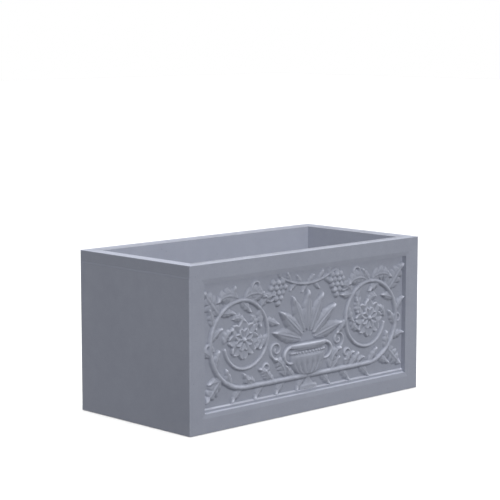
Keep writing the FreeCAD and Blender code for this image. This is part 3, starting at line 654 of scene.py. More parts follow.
def run_tree(name, start, data, values):
    """Run a tree on a mesh or a curve and keep the result as a plain mesh."""
    holder = bpy.data.objects.new(name, data)
    scene.collection.objects.link(holder)
    modifier = holder.modifiers.new("tree", "NODES")
    modifier.node_group = start.tree
    for item in start.tree.interface.items_tree:
        if item.in_out == "INPUT" and item.name in values:
            modifier[item.identifier] = values[item.name]
    graph = bpy.context.evaluated_depsgraph_get()
    mesh = bpy.data.meshes.new_from_object(holder.evaluated_get(graph), depsgraph=graph)
    mesh.name = name
    mesh.materials.clear()
    mesh.materials.append(values["Finish"])
    mesh.polygons.foreach_set("material_index", np.zeros(len(mesh.polygons), dtype=np.int32))
    bpy.data.objects.remove(holder)
    return mesh


def new_piece(name, mesh, body, replaced):
    """A finished piece that rides on a body and shows instead of some of the solid pieces."""
    piece = bpy.data.objects.new(name, mesh)
    scene.collection.objects.link(piece)
    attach(piece, body)
    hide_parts(*replaced)


print("tree helpers ready")


# %% Nodes that several trees need
def attribute(start, name, kind="FLOAT"):
    """What the points carry under a name."""
    return start.node("GeometryNodeInputNamedAttribute", {"data_type": kind}, {"Name": name})


def shape_of(start, label):
    """The shape of the object that is given to an input."""
    return start.node("GeometryNodeObjectInfo", sockets={"Object": start.output(label)}, out="Geometry")


def vector_of(start, x=0.0, y=0.0, z=0.0):
    """A vector of three numbers, each a wire or a plain value."""
    return start.node("ShaderNodeCombineXYZ", sockets={0: x, 1: y, 2: z})


def turned(start, angle):
    """A rotation about the z axis, by an angle in radians."""
    return start.node("FunctionNodeEulerToRotation", sockets={0: vector_of(start, z=angle)})


def on_points(start, points, shape, **placing):
    """A copy of a shape on every point."""
    return start.node("GeometryNodeInstanceOnPoints", sockets={
        "Points": points, "Instance": shape, **placing})


def point_mesh(name, places, **carried):
    """Points that carry named numbers or vectors, one for each point."""
    mesh = bpy.data.meshes.new(name)
    mesh.from_pydata(places, [], [])
    for label, values in carried.items():
        kind, field = ("FLOAT", "value") if np.ndim(values) == 1 else ("FLOAT_VECTOR", "vector")
        mesh.attributes.new(label, kind, "POINT").data.foreach_set(field, np.ravel(values))
    return mesh


print("short helpers ready")

# %% [markdown]
# ## Forms of the ornament
# The ornament is a traditional one: an urn with a spray of leaves at the middle and a leafy stem
# that winds round a rosette on each side. A modeller would press such forms from clay and cut the
# veins with a wire tool. Here each form is a small sheet of points whose outline and height follow
# a formula. They lie flat, with x across the panel, y up it and z standing out of it, because that
# is the easiest place to arrange them.

# %% Sheets of points
LEAF_ROWS = 49
LEAF_COLUMNS = 25


def sheet_mesh(name, points):
    """Mesh of quads through a grid of points."""
    rows, columns, _ = points.shape
    index = np.arange(rows * columns).reshape(rows, columns)
    faces = np.stack([index[:-1, :-1], index[:-1, 1:], index[1:, 1:], index[1:, :-1]], axis=-1)
    mesh = bpy.data.meshes.new(name)
    mesh.from_pydata(points.reshape(-1, 3).tolist(), [], faces.reshape(-1, 4).tolist())
    return mesh


def leaf_points(lobes, slimness, bend, notch=0.42, fold=0.34):
    """A lobed leaf of length 1 and height 1 along +x, bent sideways by an angle in radians."""
    along = np.linspace(0, 1, LEAF_ROWS)[:, None]
    across = np.linspace(-1, 1, LEAF_COLUMNS)[None, :]
    side = abs(across)
    tongue = abs(np.sin(np.pi * lobes * along)) ** 0.6
    swell = np.sin(np.pi * (0.06 + 0.94 * along) ** 0.75) ** 0.8
    half = 0.5 * slimness * swell * (1 - notch * (1 - tongue))
    reach = along + 0.34 * slimness * side ** 1.3 * swell * (1 - along)
    sideways = across * half
    pillow = 1 - 0.72 * side ** 2.4
    crease = fold * (1 - tongue) ** 2 * side ** 0.6
    rib = 0.16 * np.exp(-(across / 0.10) ** 2) - 0.20 * np.exp(-((side - 0.24) / 0.09) ** 2)
    nose = 0.26 * np.exp(-((along - 0.90) / 0.07) ** 2) * (1 - side ** 2)
    rise = 0.55 + 0.45 * along ** 0.7
    height = rise * (pillow - crease + rib * (1 - along) ** 0.4) * 0.85 + nose
    if not bend:
        return np.stack([reach, sideways, height], axis=-1)
    turn = bend * reach
    x = np.sin(turn) / bend - sideways * np.sin(turn)
    y = (1 - np.cos(turn)) / bend + sideways * np.cos(turn)
    return np.stack([x, y, height], axis=-1)


LEAF_KINDS = {
    "broad_leaf": {"lobes": 4, "slimness": 0.58, "bend": 0.0},
    "hooked_leaf": {"lobes": 4, "slimness": 0.50, "bend": 1.25},
    "fan_leaf": {"lobes": 4, "slimness": 0.36, "bend": 0.0, "notch": 0.14, "fold": 0.0},
    "sprig_leaf": {"lobes": 3, "slimness": 0.46, "bend": 0.35, "notch": 0.30, "fold": 0.20},
}
FORMS = {name: sheet_mesh(name, leaf_points(**shape)) for name, shape in LEAF_KINDS.items()}
print({name: len(mesh.polygons) for name, mesh in FORMS.items()})

# %% Petal
PETAL_ROWS = 21
PETAL_COLUMNS = 15


def petal_points():
    """A rounded petal of length 1 with a raised rim and a notched end."""
    along = np.linspace(0, 1, PETAL_ROWS)[:, None]
    across = np.linspace(-1, 1, PETAL_COLUMNS)[None, :]
    half = 0.36 * np.sin(np.pi * (0.12 + 0.82 * along ** 1.5)) ** 0.7
    notch = 0.08 * np.exp(-(across / 0.22) ** 2) * along ** 6
    cup = 0.50 + 0.32 * across ** 2 - 0.22 * abs(across) ** 8
    groove = 0.16 * np.exp(-(across / 0.15) ** 2)
    return np.stack([along - notch, across * half, cup + 0.18 * along - groove], axis=-1)


FORMS["petal"] = sheet_mesh("petal", petal_points())
print(f"petal of {len(FORMS['petal'].polygons)} faces")

# %% [markdown]
# ## Where the leaves grow
# Each leaf is a point with a heading and a size. The list covers the right half of the panel in
# millimetres from its middle, and the left half is its mirror image. A tree then puts the right
# kind of leaf on every point: that is quicker to rearrange than hundreds of placed objects.

# %% Places of the leaves
ROSETTE = (330.5, 8.5)
# kind, x, y, heading in degrees, length, height, and 1 or -1 for the way it bends
LEAVES = [
    ("broad_leaf", 436, -118, -45, 112, 15, 1),
    ("broad_leaf", 446, 106, 49, 128, 15, 1),
    ("hooked_leaf", 352, 158, 32, 118, 14, -1),
    ("hooked_leaf", 322, 156, 150, 118, 14, 1),
    ("hooked_leaf", 118, -158, 86, 104, 15, -1),
    ("hooked_leaf", 206, -160, 82, 74, 13, -1),
    ("hooked_leaf", 240, 116, 118, 84, 13, 1),
    ("hooked_leaf", 270, -160, 60, 50, 12, -1),
]
# leaves that curl round the rosette: where they start, in degrees, and how they lie
CURLS = (20, 80, 140, 200)
CURL_RING = 92
CURL_LAG = 24.06
CURL_LEAN = 78
CURL_SIZE = (70, 13)


def around(middle, radius, angle):
    """A point on a circle, for an angle in degrees."""
    turn = math.radians(angle)
    return middle[0] + radius * math.cos(turn), middle[1] + radius * math.sin(turn)


def leaf_site(x, y, heading, length, height, bend=1):
    """A leaf's place, heading in radians, and size in metres."""
    return (x * MM, y * MM, 0), math.radians(heading), (length * MM, bend * length * MM, height * MM)


curls = [
    ("hooked_leaf", *around(ROSETTE, CURL_RING, angle - CURL_LAG), angle + CURL_LEAN, *CURL_SIZE, 1)
    for angle in CURLS]
sites = {"broad_leaf": [], "hooked_leaf": [], "fan_leaf": [], "petal": []}
for kind, x, y, heading, length, height, bend in LEAVES + curls:
    sites[kind].append(leaf_site(x, y, heading, length, height, bend))
    sites[kind].append(leaf_site(-x, y, 180 - heading, length, height, -bend))
print({kind: len(found) for kind, found in sites.items()})

# %% Places of the fan and the petals
# leaves that fan out of the urn, by their lean to the right in degrees
FAN = (-75, -50, -25, 0, 25, 50, 75)
FAN_MIDDLE = (0, -35)
FAN_RING = 36
FAN_LENGTH = 154
FAN_HEIGHTS = (14, 17)
PETAL_STEP = 45
# first angle, distance from the rosette's middle, length and height of each ring of petals
PETAL_RINGS = ((0, 10, 62, 14), (PETAL_STEP / 2, 6, 36, 19))

for index, lean in enumerate(FAN):
    start_at = around(FAN_MIDDLE, FAN_RING, 90 - lean)
    sites["fan_leaf"].append(leaf_site(*start_at, 90 - lean, FAN_LENGTH, FAN_HEIGHTS[index % 2]))
for side in (1, -1):
    for first, ring, length, height in PETAL_RINGS:
        for angle in np.arange(first, 360, PETAL_STEP):
            start_at = around((side * ROSETTE[0], ROSETTE[1]), ring, angle)
            sites["petal"].append(leaf_site(*start_at, angle, length, height))
print({kind: len(found) for kind, found in sites.items()})

# %% [markdown]
# ## Stone of the ornament
# The hollows of the relief are painted darker, as painted shade, and its crests paler, as painted
# highlights, which is most of what makes carving easy to read. The panel, once pressed, carries an
# attribute that says how deep each point lies below its surroundings, and the finish reads the
# painted shade and the painted highlights from that.

# %% Stone of the ornament
HOLLOW_SHADE = colour(114, 118, 130)
HOLLOW_SHADE_PATCH = 20 * MM
HOLLOW_SHADE_WANDER = 4 * MM
HOLLOW_SHADE_SHARE = 0.80
HOLLOW_SHADE_DEPTH = 5 * MM
CREST_HIGHLIGHT_SHARE = 0.85
CREST_HIGHLIGHT_HEIGHT = 6 * MM


def relief_painted_shade_and_highlight(place, face):
    """Painted shade in the hollows and painted highlights on the crests, from how deep each point lies
    below its surroundings.
    """
    sunk = place.node("ShaderNodeAttribute", {"attribute_name": "sunk"}, out="Fac")
    uneven = (noise(place, HOLLOW_SHADE_PATCH) - 0.5) * HOLLOW_SHADE_WANDER
    # painted shade in the hollows, then a painted highlight on the crests
    face = ((sunk + uneven).ramp(0.0, HOLLOW_SHADE_DEPTH) * HOLLOW_SHADE_SHARE).blend(face, HOLLOW_SHADE)
    return ((uneven - sunk).ramp(0.0, CREST_HIGHLIGHT_HEIGHT) * CREST_HIGHLIGHT_SHARE).blend(face, STONE_BLOOM_AND_HIGHLIGHT)


relief_stone = stone_finish("relief_stone", relief_painted_shade_and_highlight, pit_share=0.06)
print(f"relief stone of {len(relief_stone.node_tree.nodes)} nodes")

# %% A tree that puts a form on every site
spray = new_tree("spray_of_forms", {"Form": "Object", "Finish": "Material"})
close_tree(spray, on_points(
    spray, spray.output("Geometry"), shape_of(spray, "Form"),
    Rotation=turned(spray, attribute(spray, "heading")), Scale=attribute(spray, "size", "FLOAT_VECTOR")))

workshop = bpy.data.collections.new("workshop")
scene.collection.children.link(workshop)


def on_bench(name, mesh):
    """Lay a form of the ornament on the bench, where the panel is pressed from it."""
    workshop.objects.link(bpy.data.objects.new(name, mesh))


def grow(name, tree, data, values):
    """Run a tree and lay what it makes on the bench."""
    on_bench(name, run_tree(name, tree, data, {"Finish": relief_stone, **values}))


for kind, found in sites.items():
    places, headings, sizes = zip(*found)
    master = bpy.data.objects.new(kind, FORMS[kind])
    grow(f"{kind}_spray", spray, point_mesh(kind, places, heading=headings, size=sizes), {"Form": master})
    bpy.data.objects.remove(master)

# %% [markdown]
# ## Winding stems
# The stem leaves the urn's foot, runs along the bottom and winds inwards in quarter turns of
# falling radius. A curve carries it: Curve to Mesh gives it a round section that thins towards the
# end, and the same curve also carries small leaves on alternate sides. Following a path is what
# Geometry Nodes do best, since moving a point of the curve moves all that grows on it.

# %% Curves of the stems
SCROLL_RADIUS = 167
SCROLL_DROP = 17
SCROLL_X = 322
STEM_RUN = (12, 140, 230)
# the way that the middle shifts after each quarter turn
QUARTER_WAYS = ((1, 0), (0, 1), (-1, 0), (0, -1), (1, 0))
ARC_STEPS = 10
LEAFY_POINTS = 34


def arc(middle, reach, sweep, count=9):
    """Points on part of an oval, in the unit of its middle and its reach; the sweep is in degrees."""
    turn = np.radians(np.linspace(*sweep, count))
    return np.stack([middle[0] + reach[0] * np.cos(turn), middle[1] + reach[1] * np.sin(turn)], axis=-1)


def scroll_path():
    """Points of the right-hand stem: a straight run, then quarter turns whose middles shift."""
    points = [(x, -SCROLL_RADIUS) for x in STEM_RUN]
    x, y = SCROLL_X, 0
    for quarter, (step_x, step_y) in enumerate(QUARTER_WAYS):
        radius = SCROLL_RADIUS - quarter * SCROLL_DROP
        sweep = (90 * (quarter - 1), 90 * quarter)
        points += arc((x, y), (radius, radius), sweep, ARC_STEPS + 1)[:-1].tolist()
        x += step_x * SCROLL_DROP
        y += step_y * SCROLL_DROP
    return points


def on_both_sides(path):
    """A path in millimetres and its mirror image, in metres."""
    return [[(side * x * MM, y * MM, 0) for x, y in path] for side in (1, -1)]


def path_curve(name, paths):
    """Straight-run splines through close points."""
    curve = bpy.data.curves.new(name, "CURVE")
    curve.dimensions = "3D"
    for path in paths:
        spline = curve.splines.new("POLY")
        spline.points.add(len(path) - 1)
        for point, place in zip(spline.points, path):
            point.co = (*place, 1)
    return curve


stem_paths = on_both_sides(scroll_path())
leafy_paths = [path[:LEAFY_POINTS] for path in stem_paths]
print(f"{len(stem_paths[0])} points on each stem")

# %% Curves of the handles, the tendrils and the swag
HANDLE_MIDDLE = (86, -82)
HANDLE_REACH = (38, 31)
HANDLE_SWEEP = (80, -100)
HANDLE_POINTS = 24
# middle x and y, radius, angle where it starts in degrees, turns, and 1 or -1 for the way it winds
TENDRILS = (
    (163, -52, 34, -100, 1.4, 1), (212, -112, 26, -120, 1.3, 1), (190, 150, 26, 30, 1.3, -1),
    (497, -12, 24, 200, 1.3, -1), (262, 192, 24, -60, 1.3, 1))
TENDRIL_POINTS = 40
TENDRIL_CLOSING = 0.86
SWAG_HALF = 138
SWAG_TOP = 210
SWAG_DROP = 34
SWAG_POINTS = 24


def tendril_path(x, y, radius, angle, turns, hand):
    """A spiral that winds in towards its own middle, in millimetres."""
    steps = np.linspace(0, 1, TENDRIL_POINTS)
    turn = math.radians(angle) + hand * 2 * math.pi * turns * steps
    reach = radius * (1 - TENDRIL_CLOSING * steps)
    return np.stack([x + reach * np.cos(turn), y + reach * np.sin(turn)], axis=-1)


def swag_path():
    """Half of a garland that hangs in a parabola, in millimetres."""
    across = np.linspace(0, SWAG_HALF, SWAG_POINTS)
    return np.stack([across, SWAG_TOP - SWAG_DROP * (1 - (across / SWAG_HALF) ** 2)], axis=-1)


handle_paths = on_both_sides(arc(HANDLE_MIDDLE, HANDLE_REACH, HANDLE_SWEEP, HANDLE_POINTS))
tendril_paths = [path for tendril in TENDRILS for path in on_both_sides(tendril_path(*tendril))]
swag_paths = on_both_sides(swag_path())
print(f"{len(handle_paths)} handles, {len(tendril_paths)} tendrils, {len(swag_paths)} halves of a swag")

# %% Trees for a thinning stem and for the leaves along it
STEM_SIDES = 14
LEAF_LEAN = 0.62
# paths, thickness at the start and at the end, and lift off the ground, in millimetres
STEMS = {
    "stems": (stem_paths, 10.5, 6, 3),
    "handles": (handle_paths, 7, 5, 6),
    "tendrils": (tendril_paths, 5.5, 3.8, 3),
    "swag": (swag_paths, 6, 4, 3),
}
# paths, and the spacing, length and height of the leaves, in millimetres
VINES = {
    "leaflets": (leafy_paths, 52, 74, 13),
    "swag_leaflets": (swag_paths, 26, 46, 10),
}

stem = new_tree("thinning_stem", {
    "Thick": "Float", "Thin": "Float", "Lift": "Float", "Finish": "Material"})
share = stem.node("GeometryNodeSplineParameter")
girth = stem.output("Thick") * (1 - share) + stem.output("Thin") * share
section = stem.node("GeometryNodeCurvePrimitiveCircle", sockets={"Resolution": STEM_SIDES, "Radius": 1.0})
raised = stem.node("GeometryNodeSetPosition", sockets={
    "Geometry": stem.output("Geometry"), "Offset": vector_of(stem, z=stem.output("Lift"))})
close_tree(stem, stem.node("GeometryNodeCurveToMesh", sockets={
    "Curve": raised, "Profile Curve": section, "Scale": girth, "Fill Caps": True}))

vine = new_tree("leaves_along_a_stem", {
    "Leaf": "Object", "Spacing": "Float", "Length": "Float", "Height": "Float", "Finish": "Material"})
points = vine.node("GeometryNodeCurveToPoints", {"mode": "LENGTH"}, {
    "Curve": vine.output("Geometry"), "Length": vine.output("Spacing")})
run_x, run_y, _ = parts_of(points.output("Tangent"))
number = vine.node("GeometryNodeInputIndex")
hand = 1 - vine.math("MODULO", number, 2.0) * 2
heading = vine.math("ARCTAN2", run_y, run_x) + hand * LEAF_LEAN
leaf_length = vine.output("Length")
close_tree(vine, on_points(
    vine, points, shape_of(vine, "Leaf"), Rotation=turned(vine, heading),
    Scale=vector_of(vine, leaf_length, leaf_length * hand, vine.output("Height"))))

for name, (paths, thick, thin, lift) in STEMS.items():
    grow(name, stem, path_curve(name, paths), {"Thick": thick * MM, "Thin": thin * MM, "Lift": lift * MM})
sprig = bpy.data.objects.new("sprig", FORMS["sprig_leaf"])
for name, (paths, spacing, length, height) in VINES.items():
    grow(name, vine, path_curve(name, paths), {
        "Leaf": sprig, "Spacing": spacing * MM, "Length": length * MM, "Height": height * MM})
bpy.data.objects.remove(sprig)

# %% [markdown]
# ## Urn, berries and beads
# The urn is turned work squeezed flat: an outline of arcs, swept through half a circle and pressed
# to a fifth of its depth, with hollow flutes on the lower bowl and a hollow neck. The berries, and
# the beads that stand in the neck, are half balls put on points by a tree.

# %% Urn
# foot, cove, knop, bowl, shoulder, neck and lip, as (radius, level) in millimetres
URN_PROFILE = np.concatenate([
    [(49, -216), (49, -206)],
    arc((45, -176), (30, 24), (-90, -180)),
    arc((17, -167.5), (8, 4.5), (-90, 90)),
    arc((19, -98), (71, 65), (-90, 0)),
    arc((80, -98), (10, 32), (15, 90)),
    [(80, -62)],
    arc((88, -51), (11, 9), (-90, 65)),
])
URN_DEPTH = 21
URN_COLUMNS = 73
FLUTES = 9
FLUTE_DEPTH = 0.26
NECK_DEPTH = 0.30
# low and high level, and how far inside them the hollow fades in
FLUTE_BAND = (-158, -108, 8)
NECK_BAND = (-86, -66, 3)


def urn_rise(radius, turn):
    """How far the pressed urn stands out of the ground, for a radius and a turn round its axis."""
    widest = URN_PROFILE[:, 0].max()
    return URN_DEPTH * (radius / widest) ** 0.45 * np.sin(turn) ** 0.7


def in_band(level, low, high, fade):
    """1 between two levels, falling to 0 over a short way inside each."""
    return np.clip((level - low) / fade, 0, 1) * np.clip((high - level) / fade, 0, 1)


def urn_points():
    """Half of a turned urn, pressed flat, with flutes round the lower bowl and a hollow neck."""
    radius, level = (column[:, None] for column in URN_PROFILE.T)
    turn = np.linspace(0, np.pi, URN_COLUMNS)[None, :]
    flutes = FLUTE_DEPTH * in_band(level, *FLUTE_BAND) * (0.5 + 0.5 * np.cos(2 * FLUTES * turn)) ** 2
    hollow = NECK_DEPTH * in_band(level, *NECK_BAND)
    rise = urn_rise(radius, turn) * (1 - flutes) * (1 - hollow)
    return np.stack(np.broadcast_arrays(radius * np.cos(turn), level, rise), axis=-1) * MM


on_bench("urn", sheet_mesh("urn", urn_points()))
print(f"urn outline of {len(URN_PROFILE)} points")

# %% Berries and beads
BUNCH = (154, 194)
BUNCH_ROWS = (3, 4, 3, 2, 1)
BERRY = 13
# from berry to berry and from row to row, in radii of a berry
BERRY_APART = 1.75
ROW_APART = 1.45
BERRY_HEIGHTS = (12, 15)
ROSETTE_BALL = (12, 21)
BEADS = 15
BEAD_RING = (86, -76)
BEAD = 7.5
BEAD_PROUD = 7

balls = new_tree("balls_on_points", {"Finish": "Material"})
ball = balls.node("GeometryNodeMeshIcoSphere", sockets={"Radius": 1.0, "Subdivisions": 3})
close_tree(balls, on_points(
    balls, balls.output("Geometry"), ball, Scale=attribute(balls, "size", "FLOAT_VECTOR")))

# x, y, radius and height of each ball, in millimetres
ball_sites = []
for side in (1, -1):
    for row, count in enumerate(BUNCH_ROWS):
        for index in range(count):
            x = side * (BUNCH[0] + (index - (count - 1) / 2) * BERRY * BERRY_APART)
            y = BUNCH[1] - row * BERRY * ROW_APART
            ball_sites.append((x, y, BERRY, BERRY_HEIGHTS[(index + row) % 2]))
    ball_sites.append((side * ROSETTE[0], ROSETTE[1], *ROSETTE_BALL))
for index in range(BEADS):
    turn = math.pi * (index + 0.5) / BEADS
    rise = urn_rise(BEAD_RING[0], turn) * (1 - NECK_DEPTH) + BEAD_PROUD
    ball_sites.append((BEAD_RING[0] * math.cos(turn), BEAD_RING[1], BEAD, rise))
places = [(x * MM, y * MM, 0) for x, y, _, _ in ball_sites]
sizes = [(radius * MM, radius * MM, height * MM) for _, _, radius, height in ball_sites]
grow("balls", balls, point_mesh("balls", places, size=sizes), {})
bench_faces = sum(len(item.data.polygons) for item in workshop.objects)
print(f"{len(ball_sites)} balls, {bench_faces} faces on the bench")

# %% [markdown]
# ## Pressing the panel
# The real panel comes out of a mould as one piece, so its forms have no seams and no undercuts,
# and every edge is a little soft. Joining the forms with booleans would keep knife edges and cost
# much time. Instead a fine grid is laid over the bench and dropped onto it: four rays round each
# point find the height below, and their mean softens the steps. The tree also notes how deep each
# point lies below its surroundings, for the painted shade in the hollows and highlights on the crests.

# %% A tree that drops a grid onto the forms
DROP = 100 * MM
# where the rays fall, in shares of the pitch across and up from each point of the grid
RAYS = ((-0.3, -0.2), (0.2, -0.3), (0.3, 0.2), (-0.2, 0.3))
UNEVEN_PATCH = 30 * MM


def remember(geometry, name, value):
    """Store a number on every point under a name."""
    settings = {"data_type": "FLOAT", "domain": "POINT"}
    return geometry.node("GeometryNodeStoreNamedAttribute", settings, {
        "Geometry": geometry, "Name": name, "Value": value})


press = new_tree("pressed_panel", {
    "Forms": "Collection", "Width": "Float", "Height": "Float", "Columns": "Int", "Rows": "Int",
    "Pitch": "Float", "Surroundings": "Int", "Unevenness": "Float", "Finish": "Material"})
grid = press.node("GeometryNodeMeshGrid", sockets={
    "Size X": press.output("Width"), "Size Y": press.output("Height"),
    "Vertices X": press.output("Columns"), "Vertices Y": press.output("Rows")})
bench = press.node("GeometryNodeCollectionInfo", sockets={"Collection": press.output("Forms")})
target = press.node("GeometryNodeRealizeInstances", sockets={0: bench})
here = press.node("GeometryNodeInputPosition")
pitch = press.output("Pitch")
rises = []
for across, up in RAYS:
    shift = vector_of(press, pitch * across, pitch * up, DROP)
    above = press.node("ShaderNodeVectorMath", {"operation": "ADD"}, {0: here, 1: shift})
    ray = press.node("GeometryNodeRaycast", sockets={
        "Target Geometry": target, "Source Position": above,
        "Ray Direction": (0, 0, -1), "Ray Length": 2 * DROP})
    rises.append(parts_of(ray.output("Hit Position"))[2].most(0.0) * ray)
pressed = remember(grid, "raised", sum(rises) * (1 / len(RAYS)))
raised = attribute(press, "raised")
nearby = press.node("GeometryNodeBlurAttribute", {"data_type": "FLOAT"}, {
    0: raised, 1: press.output("Surroundings"), 2: 1.0})
pressed = remember(pressed, "sunk", nearby - raised)
hand_made = (noise(here, UNEVEN_PATCH) - 0.5) * press.output("Unevenness")
pressed = press.node("GeometryNodeSetPosition", sockets={
    "Geometry": pressed, "Offset": vector_of(press, z=raised + hand_made)})
close_tree(press, press.node("GeometryNodeSetShadeSmooth", sockets={"Geometry": pressed}))
print(f"tree of {len(press.tree.nodes)} nodes")

# %% Press the panel
PANEL_WIDTH = panel_high.x - panel_low.x + 2 * BEDDING
PANEL_HEIGHT = panel_high.z - panel_low.z + 2 * BEDDING
GRID_COLUMNS = 461
GRID_ROWS = 200
PITCH = PANEL_WIDTH / (GRID_COLUMNS - 1)
UNEVENNESS = 0.9 * MM
SURROUNDINGS = 12

panel_mesh = run_tree("relief_panel", press, bpy.data.meshes.new("empty"), {
    "Forms": workshop, "Width": PANEL_WIDTH, "Height": PANEL_HEIGHT, "Columns": GRID_COLUMNS,
    "Rows": GRID_ROWS, "Pitch": PITCH, "Surroundings": SURROUNDINGS, "Unevenness": UNEVENNESS,
    "Finish": relief_stone})
for item in list(workshop.objects):
    bpy.data.objects.remove(item)
bpy.data.collections.remove(workshop)
print(f"panel grid of {len(panel_mesh.vertices)} points, {PITCH / MM:.2f} mm apart")

# %% [markdown]
# ## From a sheet to a block
# The pressed grid is an open sheet, but what a caster lifts out of the mould is a slab with a back.
# Solidify would thicken the sheet by the same amount everywhere and copy the carving onto the back.
# Carrying the rim straight back and closing it gives the flat back of the real one. The block is
# then stood up in the recess of the front wall.

# %% Give the panel its thickness and stand it up
PANEL_THICKNESS = 10 * MM
PANEL_MIDDLE = (panel_low.z + panel_high.z) / 2
GROUND_Y = panel_high.y - PANEL_THICKNESS


def face_outwards(mesh):
    """Turn every face of a closed mesh to the outside."""
    shape = bmesh.new()
    shape.from_mesh(mesh)
    bmesh.ops.recalc_face_normals(shape, faces=shape.faces)
    shape.to_mesh(mesh)
    shape.free()


def close_block(mesh, depth):
    """Carry the rim of an open sheet back to a flat underside and close it."""
    sheet = bmesh.new()
    sheet.from_mesh(mesh)
    rim = [edge for edge in sheet.edges if edge.is_boundary]
    made = bmesh.ops.extrude_edge_only(sheet, edges=rim)["geom"]
    back_edges = [item for item in made if isinstance(item, bmesh.types.BMEdge) and item.is_boundary]
    for vertex in {vertex for edge in back_edges for vertex in edge.verts}:
        vertex.co.z = -depth
    back = bmesh.ops.contextual_create(sheet, geom=back_edges)["faces"]
    for face in back + [item for item in made if isinstance(item, bmesh.types.BMFace)]:
        face.smooth = False
    sheet.to_mesh(mesh)
    sheet.free()


close_block(panel_mesh, PANEL_THICKNESS)
face_outwards(panel_mesh)
stand_up = Matrix.Translation((0, GROUND_Y, PANEL_MIDDLE)) @ Matrix.Rotation(math.pi / 2, 4, "X")
panel_mesh.transform(stand_up)
new_piece("relief_panel", panel_mesh, "planter", ["relief_plaque"])
print(f"{sum(len(face.vertices) - 2 for face in panel_mesh.polygons)} triangles in the panel")

# %% [markdown]
# ## Ledge under the ornament
# The ornament stands on a stepped ledge. On the real thing each step slopes forwards so that rain
# runs off it, and the two slopes catch the light as two thin lines; the faces that look up are also
# painted paler, as painted light, most on the upper step. The pressed grid is too coarse for such
# sharp arrises, so the ledge is a plain extrusion: its section, drawn once, and carried from end to end.

# %% Stepped ledge
# height from the panel's middle and distance out of the ground, in millimetres, round the section
LEDGE_SECTION = (
    (-230, -5), (-230, 16.5), (-229.8, 16.9), (-228.0, 7.9), (-227.6, 7.7), (-219.4, 7.7),
    (-219.0, 7.4), (-214.6, -1), (-214.6, -5))
# level between the two steps, above the ground
LEDGE_STEP = PANEL_MIDDLE - 220 * MM
UPLIGHT_LEAST = 0.35
UPLIGHT_MORE = 0.40


def ledge_painted_light(place, face):
    """Painted light on the faces that look up: paler, and more so on the upper step."""
    upright = parts_of(place.node("ShaderNodeNewGeometry", out="Normal"))[2].ramp(0.2, 0.7)
    upper = parts_of(place)[2].ramp(LEDGE_STEP, LEDGE_STEP + BLUR)
    # painted light: up-facing faces mixed paler, most on the upper step
    return (upright * (UPLIGHT_LEAST + upper * UPLIGHT_MORE)).blend(face, STONE_BLOOM_AND_HIGHLIGHT)


def ringed_mesh(name, rings):
    """A closed mesh through rings of points that all have the same count."""
    count = len(rings[0])
    faces = [tuple(range(count))[::-1]]
    for ring in range(len(rings) - 1):
        low, high = ring * count, (ring + 1) * count
        for i in range(count):
            following = (i + 1) % count
            faces.append((low + i, low + following, high + following, high + i))
    faces.append(tuple(range((len(rings) - 1) * count, len(rings) * count)))
    mesh = bpy.data.meshes.new(name)
    mesh.from_pydata(np.concatenate(rings).tolist(), [], faces)
    return mesh


ledge_mesh = ringed_mesh("stepped_ledge", [
    [(end * PANEL_WIDTH / 2, up * MM, out * MM) for up, out in LEDGE_SECTION] for end in (-1, 1)])
ledge_mesh.materials.append(stone_finish("ledge_stone", ledge_painted_light, pit_share=0.06))
ledge_mesh.transform(stand_up)
face_outwards(ledge_mesh)
new_piece("stepped_ledge", ledge_mesh, "planter", ["relief_plaque"])
print(f"ledge of {len(LEDGE_SECTION)} corners, {PANEL_WIDTH:.3f} m long")

# %% [markdown]
# ## Bolts
# Hexagon bolts hold the steel angles to the walls. A real head is cut from hexagon bar and then
# turned, which leaves a round, chamfered top, six curved edges where the chamfer meets the flats,
# and a thin collar underneath. One bolt is built from rings of points, and a tree sets a copy on
# every place where the solid model has one: a single shape to improve, and no copy out of line.

# %% One bolt
BOLT_RADIUS = 4 * MM
BOLT_SIDES = 48
SHANK = 21.6 * MM
SHANK_POINT = 0.8 * MM
HEAD_ACROSS = 13 * MM
HEAD_HEIGHT = 5.3 * MM
ROUND_TOP = HEAD_ACROSS / 2 * 0.93
COLLAR = HEAD_ACROSS * 0.46
COLLAR_HEIGHT = 0.5 * MM
CHAMFER = math.tan(math.radians(30))
# how much narrower the end of the shank and the flat of the head are
NARROWED = 0.8


def bolt_mesh():
    """A hexagon bolt along z: its head stands on the plane z = 0 and its shank hangs below it."""
    turn = np.linspace(0, 2 * np.pi, BOLT_SIDES, endpoint=False)
    flat = HEAD_ACROSS / 2 / np.cos((turn + np.pi / 6) % (np.pi / 3) - np.pi / 6)
    edge_height = HEAD_HEIGHT - (flat - ROUND_TOP) * CHAMFER
    outline = (
        (BOLT_RADIUS * NARROWED, -SHANK), (BOLT_RADIUS, SHANK_POINT - SHANK), (BOLT_RADIUS, 0),
        (COLLAR, 0), (COLLAR, COLLAR_HEIGHT), (flat, COLLAR_HEIGHT), (flat, edge_height),
        (ROUND_TOP, HEAD_HEIGHT), (ROUND_TOP * NARROWED, HEAD_HEIGHT))
    return ringed_mesh("bolt", [
        np.stack(np.broadcast_arrays(radius * np.cos(turn), radius * np.sin(turn), height), axis=-1)
        for radius, height in outline])


bolt = bpy.data.objects.new("bolt", bolt_mesh())
print(f"bolt of {len(bolt.data.polygons)} faces")


